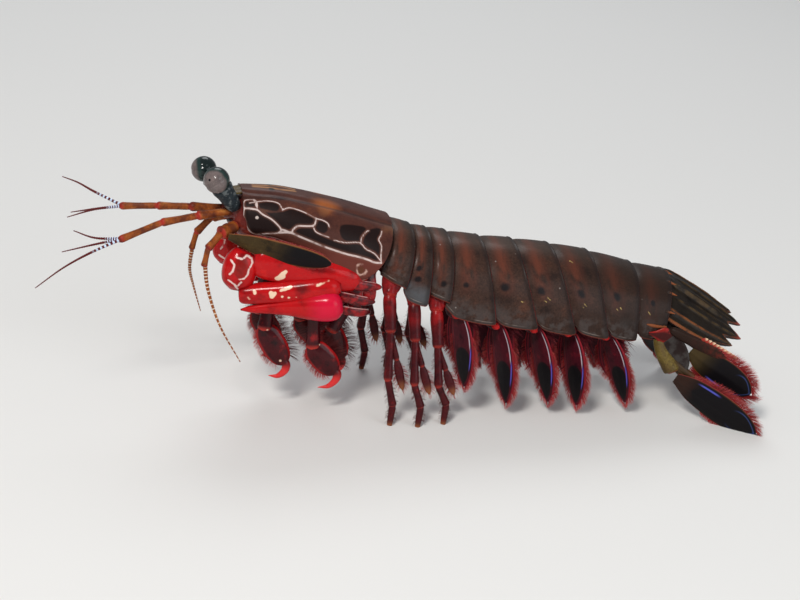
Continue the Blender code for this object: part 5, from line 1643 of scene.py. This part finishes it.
finish("hand", (0.045, 0.003, 0.005), (0.012, 0.002, 0.003), (0.22, 0.007, 0.009), 3.0, 0.14, hand_pattern,
       0.03, 0.2, **WET, Specular_IOR_Level=0.03)
for side, where in SIDES.items():
    for name in GRASPERS:
        grasper = build_grasper(name, side, HAND_FRINGE)
        grasper.show(f"grasper_{name[-1]}_{where}", "hand", "limb", f"{name}_{where}")
HAND_FRINGE.show("hand_bristles", "limb")

# %% [markdown]
# ## Walking legs
#
# Three pairs of legs carry the body, red and stout above, dark and thin below, with a leaf as a side
# branch. An armature would let them walk, but the model is still. Each leg is worked out from the plate
# over it and the place of its foot.

# %% Walking legs
LEG_FEET = (-4.4, 2.4, 9.2)
LEG_STANCE = (18.0, 19.2, 17.8)
LEG_JOINT = ((0.0, 0.7), (0.12, 0.95), (0.35, 1.0), (0.7, 0.86), (0.92, 0.84), (1.0, 0.6))
LEG_FRINGE = Fringe(3)


def build_leg(index, side, fringe):
    """Three stout segments from the body, a long stilt to the floor and a thinner branch."""
    station = plate_station(index, 0.5)
    belly = station.belly_depth
    root, hip = station.point(side * 8.0, belly - 1.6), station.point(side * 11.2, belly + 4.2)
    fork = hip + vec(0.3, side * 3.2, -8.2)
    foot = vec(LEG_FEET[index], side * LEG_STANCE[index], 0.0)
    knee = mix(fork, foot, 0.52) + vec(-0.8, side * 1.0, 0.6)
    ankle = foot + vec(0.5, side * -0.5, 5.0)
    across = vec(1, 0, 0)
    heap = Heap()
    heap.add(segment(root, hip, 2.1, 1.8, across, LEG_JOINT), part=0)
    for x, share in ((-1.6, 0.1), (1.5, 0.0)):
        flap = Blade(root + vec(x, side * 1.2, 2.0), mix(hip, fork, share) + vec(x * 0.4, side * 0.4, 0),
                     1.7, 1.5, across)
        heap.add(flap.form(24, 22)[0], part=0)
    heap.add(segment(hip, fork, 1.65, 1.45, across, LEG_JOINT), part=1)
    heap.add(segment(fork, knee, 1.15, 1.0, across), part=2)
    heap.add(segment(knee, ankle, 1.05, 0.95, across), part=3)
    tip = [mix(ankle, foot, s) for s in (-0.08, 0.1, 0.5, 0.85, 1.0)]
    heap.add(loft(sweep(tip, [(0.6, 0.55), (0.88, 0.82), (0.84, 0.78), (0.74, 0.74), (0.66, 0.66)], across,
                        20, 16)), part=4)
    branch_tip = mix(foot, fork, 0.36) + vec(3.4, side * -0.6, 0)
    start = mix(fork, branch_tip, -0.06)
    middle = mix(start, branch_tip, 0.5)
    heap.add(segment(start, middle, 0.8, 0.65, across), part=3)
    leaf = Blade(mix(start, branch_tip, 0.47), branch_tip, 1.1, 0.75, across)
    form, _ = leaf.form(24, 20)
    heap.add(form, part=4)
    fringe.edges(leaf, 60, 1.6, 0.2, lean=0.6, width=0.045)
    for start, end, size in ((fork, knee, 0.9), (knee, ankle, 0.85), (ankle, mix(ankle, foot, 0.8), 0.7)):
        stilt = Blade(start, end, size, 0.9, across, ((0.0, 1.0), (1.0, 1.0)))
        for sign in (1, -1):
            fringe.edge(stilt, sign, 26, 1.3, 0.1, 0.95, lean=0.5, width=0.04, dark=1.0)
    return heap


def limb_pattern(look):
    part, along = look.marks("part", "along")
    red = look.mix(look.patches(3.4, 4, 0.35, 0.7), (0.27, 0.008, 0.009), (0.055, 0.004, 0.005))
    look.paint("red upper segments", red, look.step(part, 0.9, 0.6))
    look.paint("red fading down", red, look.band(part, 1.0, 0.2, 0.1), look.step(along, 0.8, 0.1))
    ends = look.step(look.apart(along, 0.5), 0.4, 0.49)
    look.paint("red joints", (0.38, 0.03, 0.02), ends, look.step(part, 4.4, 4.1), 0.7)
    look.paint("tawny tips", (0.22, 0.07, 0.03), look.step(part, 3.5, 3.8), look.step(along, 0.6, 0.95))


finish("limb", (0.060, 0.006, 0.008), (0.020, 0.003, 0.005), (0.15, 0.010, 0.011), 2.5, 0.26, limb_pattern,
       0.04, 0.4, **CLEAR)
for side, where in SIDES.items():
    for index in range(3):
        leg = build_leg(index, side, LEG_FRINGE)
        leg.show(f"leg_{index + 1}_{where}", "limb", "limb", f"walking_leg_{index + 1}_{where}")
LEG_FRINGE.show("leg_bristles", "limb")

# %% [markdown]
# ## Swimmerets and gills
#
# Five pairs of fringed paddles beat under the abdomen, each with a bush of gill threads. Copies of one
# would all hang alike, and the real ones swing in turn, so each has its own lean and height. The threads
# are thick bristles from the same tool.

# %% Paddles and gill threads
SWIMMERETS = ((3.0, 8.0), (4.0, 3.4), (5.2, 3.6), (3.6, 2.6), (6.8, 3.2))  # lean, and height of the tip
PADDLE = ((0.0, 0.4), (0.08, 0.7), (0.25, 0.95), (0.5, 1.0), (0.72, 0.86), (0.9, 0.5), (1.0, 0.1))
ROOT = ((0.0, 0.7), (0.15, 0.95), (0.5, 1.0), (0.85, 0.95), (1.0, 0.6))
THREADS = 200
PADDLE_FRINGE, GILLS = Fringe(4), Fringe(5)


def grow_gills(gills, stem, side):
    """A bush of soft threads behind one paddle."""
    rng = gills.rng
    turn = rng.uniform(-1, 1, THREADS)
    roots = stem + np.stack([0.3 + 0.9 * rng.random(THREADS), side * turn * 2.6,
                             rng.uniform(-1.4, 2.2, THREADS)], 1)
    aims = [0.8 + 0.3 * rng.random(THREADS), side * turn * 0.5, -0.9 + 0.5 * rng.random(THREADS)]
    bends = rng.normal(0, 0.16, (THREADS, 3)) + vec(0, 0, -0.15)
    gills.cell += 1
    places = np.stack([0.5 + 0.4 * turn, rng.random(THREADS)], 1)
    gills.grow(roots, unit(np.stack(aims, 1)), bends, rng.uniform(2.4, 5.2, THREADS),
               np.full(THREADS, 0.13), places)


def build_swimmeret(index, side, fringe, gills):
    """A broad root, an outer and an inner blade, and the gill threads behind."""
    station = plate_station(index + 3, 0.22)
    lean, height = SWIMMERETS[index]
    root = station.point(side * 7.6, station.belly_depth - 1.6, station.sweep * -0.3)
    fork = root + vec(lean * 0.25, side * 1.4, -6.6)
    outer_tip = vec(root[0] + lean * 1.1, side * 13.0, height)
    inner_tip = vec(root[0] + lean * 0.7 + 1.8, side * 5.4, height + 3.0)
    flat, turned = unit(vec(0.5, side * 1.0, 0)), unit(vec(1.0, side * 0.3, 0))
    heap = Heap()
    heap.add(segment(root, fork, 3.5, 1.9, flat, ROOT), part=0)
    outer = Blade(fork + vec(0, side * 1.2, 1.6), outer_tip, 3.9, 0.9, flat, PADDLE, bow=-0.7, rib=0.1)
    inner = Blade(fork + vec(1.0, side * -0.4, 2.2), inner_tip, 3.5, 0.9, turned, PADDLE, bow=-0.5, rib=0.1)
    for part, blade, count, length in ((1, outer, 300, 2.3), (2, inner, 200, 1.9)):
        form, across = blade.form(44, 36)
        heap.add(form, across=across * side, part=part)
        fringe.edges(blade, count, length, lean=0.55, width=0.05)
    heap.add(ball(fork + vec(-0.6, side * 1.6, 1.2), 1.15, vec(0, 0, 1)), part=3)
    grow_gills(gills, fork + vec(0.8, 0, 1.4), side)
    return heap


print("gill threads on each paddle:", THREADS)

# %% [markdown]
# ## Paddle finish
#
# A paddle is dark red with a black oval, fine veins, and a white line that turns blue. An image could show
# it, but two numbers on each point, how far along and how far across, make an oval one short sum.

# %% Paddle finish, and the paddles
def oval_mask(look, along, across, middle, long, wide):
    """1 inside an oval on a blade."""
    first = look.maths("POWER", look.maths("DIVIDE", look.minus(along, middle), long), 2.0)
    second = look.maths("POWER", look.maths("DIVIDE", across, wide), 2.0)
    return look.step(look.plus(first, second), 1.12, 0.86)


def swimmeret_pattern(look):
    part, along, across = look.marks("part", "along", "across")
    blade = look.both(look.step(part, 0.5, 0.8), look.step(part, 2.6, 2.3))
    outer = look.band(part, 1.0, 0.3, 0.1)
    look.paint("black oval", BLACK, outer, oval_mask(look, along, across, 0.72, 0.25, 0.82))
    look.paint("red veins", (0.34, 0.02, 0.03), blade,
               look.step(look.maths("SINE", look.times(across, 26.0)), 0.5, 1.0),
               look.step(look.absolute(across), 0.5, 0.8), 0.5)
    look.paint("red edge", (0.36, 0.02, 0.03), blade, look.step(look.absolute(across), 0.9, 0.98), 0.7)
    side = look.plus(across, look.times(look.maths("SINE", look.times(along, 5.0)), 0.08))
    look.paint("white line", (0.62, 0.6, 0.68), outer, look.band(side, -0.66, 0.035, 0.03),
               look.step(along, 0.52, 0.42), look.step(along, 0.04, 0.12), 0.85)
    look.paint("blue line", (0.1, 0.1, 0.55), outer, look.band(side, -0.72, 0.04, 0.04),
               look.band(along, 0.62, 0.13, 0.05))
    look.paint("red root", (0.6, 0.02, 0.02), look.step(part, 2.6, 2.9))


finish("swimmeret", (0.060, 0.006, 0.012), (0.022, 0.003, 0.007), (0.15, 0.010, 0.018), 3.0, 0.38,
       swimmeret_pattern, 0.04, 0.3)
finish("gill", (0.10, 0.012, 0.018), (0.04, 0.006, 0.010), (0.20, 0.03, 0.035), 1.0, 0.5, None, 0.02)
for side, where in SIDES.items():
    for index in range(5):
        paddle = build_swimmeret(index, side, PADDLE_FRINGE, GILLS)
        paddle.show(f"paddle_{index + 1}_{where}", "swimmeret", "limb", f"swimmeret_{index + 1}_{where}")
PADDLE_FRINGE.show("paddle_bristles", "limb")
GILLS.heap.show("gill_threads", "gill", "limb", uv=np.concatenate(GILLS.maps))

# %% [markdown]
# ## The stem of the tail fan
#
# Beside the telson a stout stem holds the fan, with two long spines and soft skins. Metaballs would melt
# them together. So stem and spines are tapered tubes, and the skins are leaves that run in.

# %% Places of the tail fan
FAN_JOINTS = {
    LEFT: {
        "stem": ((65.8, 9.4, 22.6), (68.6, 14.4, 12.6)),
        "outer": ((68.2, 12.3, 22.6), (80.4, 18.0, 17.6)),
        "paddle": ((73.0, 14.8, 17.8), (88.0, 21.4, 8.7)),
        "inner": ((69.8, 15.2, 10.8), (88.4, 27.0, 0.2)),
    },
    RIGHT: {
        "stem": ((65.8, 8.6, 25.0), (69.0, 13.0, 15.6)),
        "outer": ((68.4, 11.5, 25.0), (80.8, 17.0, 20.2)),
        "paddle": ((73.2, 14.0, 20.2), (88.4, 20.2, 11.2)),
        "inner": ((70.2, 14.0, 13.4), (88.6, 25.8, 0.2)),
    },
}
WEDGE = ((0.0, 0.12), (0.2, 0.42), (0.4, 0.92), (0.5, 1.0), (0.62, 0.8), (0.85, 0.3), (1.0, 0.12))
PROTOPOD_BEND = ((-0.12, 0.6), (0.0, 0.2), (0.3, -0.9), (0.6, -1.1), (0.85, -0.3), (1.0, 0.2), (1.06, 0.3))
PROTOPOD_SIZES = ((0.4, 0.5), (0.9, 1.1), (1.4, 1.3), (1.7, 1.5), (2.0, 1.9), (2.0, 1.9), (1.1, 0.9))
STEM_SKINS = (  # ends, half width, thickness, way it is broad, part: red joint skin, and thin grey skin
    ((62.4, 11.7, 21.6), (70.6, 12.6, 20.6), 2.3, 1.2, (0.0, 0.1, 1.0), 2),
    ((64.5, 8.6, 24.0), (74.0, 9.2, 20.6), 1.9, 1.0, (0.0, 0.2, 1.0), 3),
    ((67.4, 12.0, 22.0), (71.8, 15.6, 12.2), 3.0, 0.7, (1.0, 0.3, 0.45), 3),
)
STEM_SPINES = ((12.6, 4.4, 5.2), (8.5, 2.6, 4.8))
print("soft skins on each stem:", len(STEM_SKINS))


# %% Stem
def build_protopod(side):
    """The stem of the fan on one side, with the two long spines that reach back under its blades."""
    root, end = sided(FAN_JOINTS[side]["stem"], side)
    across = unit(vec(0.3, side * 1.0, 0.2))
    heap = Heap()
    path = [mix(root, end, s) + vec(bend, side * 0.3 * bend, 0) for s, bend in PROTOPOD_BEND]
    heap.add(loft(sweep(path, PROTOPOD_SIZES, across, 44, 36, 2.4)), part=0)
    for first, last, half, deep, broad, part in STEM_SKINS:
        outline = WEDGE if part == 2 else LEAF
        skin = Blade(side_point(first, side), side_point(last, side), half, deep, side_point(broad, side),
                     outline)
        form, away = skin.form(30, 28)
        heap.add(form, across=away, part=part)
    for reach, spread, drop in STEM_SPINES:
        start, tip = mix(root, end, 0.72), end + vec(reach, side * spread, -drop)
        path = [mix(start, tip, s) + vec(0, 0, -0.5) * math.sin(math.pi * s) for s in (0, 0.2, 0.5, 0.8, 1.0)]
        sizes = [(1.3, 1.1), (1.35, 1.15), (1.0, 0.9), (0.5, 0.45), (0.06, 0.06)]
        heap.add(loft(sweep(path, sizes, across, 30, 16)), part=1)
    return heap


show_pair(build_protopod, "fan_stem", "protopod", "shell", "uropod_protopod")

# %% [markdown]
# ## The blades of the tail fan
#
# The outer blade has a stiff segment with nine spines and a fringed paddle. The inner one is a long leaf
# whose tip stands on the floor. An Array of spines would be all alike. A loop lets them grow and turn to
# the tip.

# %% Blades of the tail fan
FAN_FACING = {"paddle": (0.45, 0.3, 0.85), "inner": (0.42, 0.5, 0.76)}  # the way each blade is broad
FAN_LEAF = ((0.0, 0.34), (0.1, 0.6), (0.22, 0.84), (0.4, 0.97), (0.6, 1.0), (0.8, 0.84), (0.93, 0.5),
            (1.0, 0.1))
OUTER_SHARES = (-0.03, 0.04, 0.3, 0.65, 0.92, 1.06, 1.12)
OUTER_SIZES = ((0.6, 0.6), (1.1, 1.0), (1.4, 1.0), (1.75, 0.95), (1.9, 0.8), (1.3, 0.5), (0.4, 0.2))
FAN_SPINES = 9
FAN_FRINGE = Fringe(6)


def build_endopod(side, fringe):
    """The inner blade, whose lower tip stands on the floor."""
    root, tip = sided(FAN_JOINTS[side]["inner"], side)
    blade = Blade(root, tip, 4.4, 1.1, unit(side_point(FAN_FACING["inner"], side)), FAN_LEAF, rib=0.2)
    form, across = blade.form(60, 48)
    form[0][:, 2] = np.maximum(form[0][:, 2], 0.0)
    heap = Heap()
    heap.add(form, across=across, part=1, inner=1.0)
    fringe.cell += 1
    first = len(fringe.heap.points)
    fringe.edge(blade, 1, 620, 2.6, 0.15, 1.0, lean=0.4, width=0.05)
    fringe.edge(blade, -1, 420, 1.8, 0.4, 1.0, lean=0.4, width=0.05)
    for points in fringe.heap.points[first:]:
        points[:, 2] = np.maximum(points[:, 2], 0.02)
    return heap


def build_exopod(side, fringe):
    """The outer blade: a stiff first segment with a row of spines on its edge, and a fringed paddle."""
    root, joint = sided(FAN_JOINTS[side]["outer"], side)
    flat = unit(side_point(FAN_FACING["paddle"], side))
    along = unit(joint - root)
    edge_out = unit(flat - along * (along @ flat))
    heap = Heap()
    path = [mix(root, joint, s) for s in OUTER_SHARES]
    heap.add(loft(sweep(path, OUTER_SIZES, flat, 50, 44, 2.2)), part=0)
    for k in range(FAN_SPINES):
        base = mix(root, joint, 0.55 + 0.5 * k / 8) + edge_out * (1.45 - 0.08 * k)
        aim = unit(along * (0.75 + 0.03 * k) + edge_out * (0.7 - 0.05 * k))
        end = base + aim * (1.6 + 0.2 * k)
        path = [base - aim * 0.3, mix(base, end, 0.3), mix(base, end, 0.7), end]
        sizes = [(0.36, 0.34), (0.5, 0.46), (0.4, 0.36), (0.05, 0.05)]
        heap.add(loft(sweep(path, sizes, along, 14, 12)), part=2)
    blade_root, tip = sided(FAN_JOINTS[side]["paddle"], side)
    blade = Blade(blade_root, tip, 4.2, 1.0, flat, FAN_LEAF, rib=0.18)
    form, across = blade.form(60, 48)
    heap.add(form, across=across, part=1)
    fringe.cell += 1
    fringe.edge(blade, 1, 620, 2.9, 0.25, lean=0.4, width=0.05)
    fringe.edge(blade, -1, 900, 3.8, 0.15, lean=0.4, width=0.05)
    return heap


print("spines on each outer blade:", FAN_SPINES)

# %% [markdown]
# ## Tail fan finish
#
# The blades are black with an olive root, a red rim and a bright blue line. Inner and outer blade differ,
# so a mark named inner turns layers on or off, in place of two materials that nearly match.

# %% Tail fan finish, and the fan
def fan_pattern(look):
    part, along, across, inner = look.marks("part", "along", "across", "inner")
    blade, away = look.band(part, 1.0, 0.3, 0.1), look.absolute(across)
    dark = look.both(blade, look.maths("MAXIMUM", oval_mask(look, along, across, 0.6, 0.4, 0.86),
                                       look.step(along, 0.1, 0.3)))
    look.paint("brown root", (0.03, 0.014, 0.01), blade, inner, look.step(along, 0.4, 0.2))
    look.paint("black oval", BLACK, dark, look.step(away, 0.99, 0.86))
    look.paint("olive root", (0.05, 0.033, 0.012), blade, look.step(along, 0.45, 0.1),
               look.minus(1.0, inner), 0.7)
    look.paint("orange lower edge", (0.4, 0.1, 0.025), blade, look.step(across, -0.9, -0.98),
               look.minus(1.0, inner), look.step(along, 0.75, 0.6))
    look.paint("red edge", (0.3, 0.035, 0.03), blade, look.step(away, 0.93, 0.99), 0.6)
    wide = look.mix(inner, (0.0, 0.0, 0.0), (1.0, 1.0, 1.0))
    turned = look.times(across, look.minus(look.times(wide, 2.0), 1.0))
    start = look.minus(0.5, look.times(inner, 0.14))
    reach = look.step(look.apart(along, start), 0.15, 0.06)
    look.paint("blue line", (0.11, 0.12, 0.6), blade, look.band(turned, 0.74, 0.045, 0.05), reach, 0.9)
    ring_in = oval_mask(look, along, across, 0.8, 0.17, 0.74)
    ring_out = oval_mask(look, along, across, 0.8, 0.19, 0.8)
    look.paint("faint blue arc", (0.06, 0.1, 0.3), blade, look.minus(ring_out, ring_in),
               look.step(along, 0.66, 0.8), 0.55)
    first = look.step(part, 0.3, 0.1)
    ridges = look.both(look.patches(1.6, 4, 0.35, 0.7), look.step(along, 0.3, 0.8))
    look.paint("outer segment", look.mix(ridges, (0.022, 0.011, 0.008), (0.13, 0.018, 0.012)), first)
    spine = look.mix(look.step(along, 0.45, 0.8), (0.3, 0.03, 0.02), (0.66, 0.46, 0.3))
    look.paint("spines", spine, look.step(part, 1.6, 1.9))


finish("fan", (0.045, 0.028, 0.011), (0.02, 0.013, 0.007), (0.07, 0.045, 0.016), 3.0, 0.38, fan_pattern,
       0.05, 0.4)
for side, where in SIDES.items():
    build_exopod(side, FAN_FRINGE).show(f"fan_outer_{where}", "fan", "fan", f"uropod_exopod_{where}")
    build_endopod(side, FAN_FRINGE).show(f"fan_inner_{where}", "fan", "fan", f"uropod_endopod_{where}")
FAN_FRINGE.show("fan_bristles", "fan")

# %% [markdown]
# ## Floor and studio light
#
# The model stands in a plain studio. A sky image gives richer glints, but this file uses none. A warm key
# light models the form, a cool fill opens the shade, and a rim light draws the bristles.

# %% Floor
FLOOR_SIZE = 8.0
bpy.ops.mesh.primitive_plane_add(size=FLOOR_SIZE)
floor = bpy.context.object
floor.name = "floor"
surface = bpy.data.materials.new("floor_look")
surface.use_nodes = True
paper = surface.node_tree.nodes["Principled BSDF"]
paper.inputs["Base Color"].default_value = (0.80, 0.79, 0.77, 1)
paper.inputs["Roughness"].default_value = 0.75
floor.data.materials.append(surface)
print("floor:", FLOOR_SIZE, "m wide")

# %% Studio light
bpy.context.scene.view_settings.view_transform = "Standard"
world = bpy.data.worlds.new("studio")
world.use_nodes = True
air = world.node_tree.nodes["Background"]
air.inputs[0].default_value = (0.92, 0.95, 1.0, 1)
air.inputs[1].default_value = 0.30
bpy.context.scene.world = world


def soft_light(name, place, target, size, power, colour):
    data = bpy.data.lights.new(name, "AREA")
    data.shape, data.size, data.energy, data.color = "DISK", size, power, colour
    lamp = bpy.data.objects.new(name, data)
    bpy.context.scene.collection.objects.link(lamp)
    lamp.location = vec(*place) * MM
    lamp.rotation_euler = Vector(vec(*target) - vec(*place)).to_track_quat("-Z", "Y").to_euler()
    print(f"{name} light: {power} W, {size} m wide")


soft_light("key", (-440, -660, 840), (0, 0, 25), 0.26, 8.6, (1.0, 0.97, 0.93))
soft_light("fill", (520, -720, 360), (10, 0, 25), 0.7, 2.7, (0.9, 0.95, 1.0))
soft_light("rim", (120, 800, 900), (0, 0, 25), 0.6, 3.7, (0.95, 0.98, 1.0))

# %% [markdown]
# ## Camera
#
# The view is from the front of the left side, a little above and slightly tilted. A camera that tracks an
# empty can't tilt, so its three directions are worked out and put into its matrix.

# %% Camera
AIM = vec(-0.79, 0.57, 26.0)
AZIMUTH, ELEVATION, ROLL = math.radians(-14), math.radians(20), math.radians(5)
DISTANCE, LENS, SENSOR = 450.0, 81.0, 36.0
level = math.cos(ELEVATION)
forward = vec(-math.sin(AZIMUTH) * level, math.cos(AZIMUTH) * level, -math.sin(ELEVATION))
right = vec(math.cos(AZIMUTH), math.sin(AZIMUTH), 0)
above = np.cross(right, forward)
right_rolled = right * math.cos(ROLL) + above * math.sin(ROLL)
above_rolled = above * math.cos(ROLL) - right * math.sin(ROLL)
data = bpy.data.cameras.new("photo_camera")
data.lens, data.sensor_width, data.clip_start, data.clip_end = LENS, SENSOR, 0.01, 10.0
camera = bpy.data.objects.new("photo_camera", data)
bpy.context.scene.collection.objects.link(camera)
matrix = np.eye(4)
matrix[:3, 0], matrix[:3, 1], matrix[:3, 2] = right_rolled, above_rolled, -forward
matrix[:3, 3] = (AIM - forward * DISTANCE) * MM
camera.matrix_world = Matrix(matrix.tolist())
bpy.context.scene.camera = camera
print("camera at", (matrix[:3, 3]).round(3))

# %% [markdown]
# ## The end
#
# The look has to fit the solids that it covers. The last line only brings the scene up to date.

# %% The last line
bpy.context.view_layer.update()
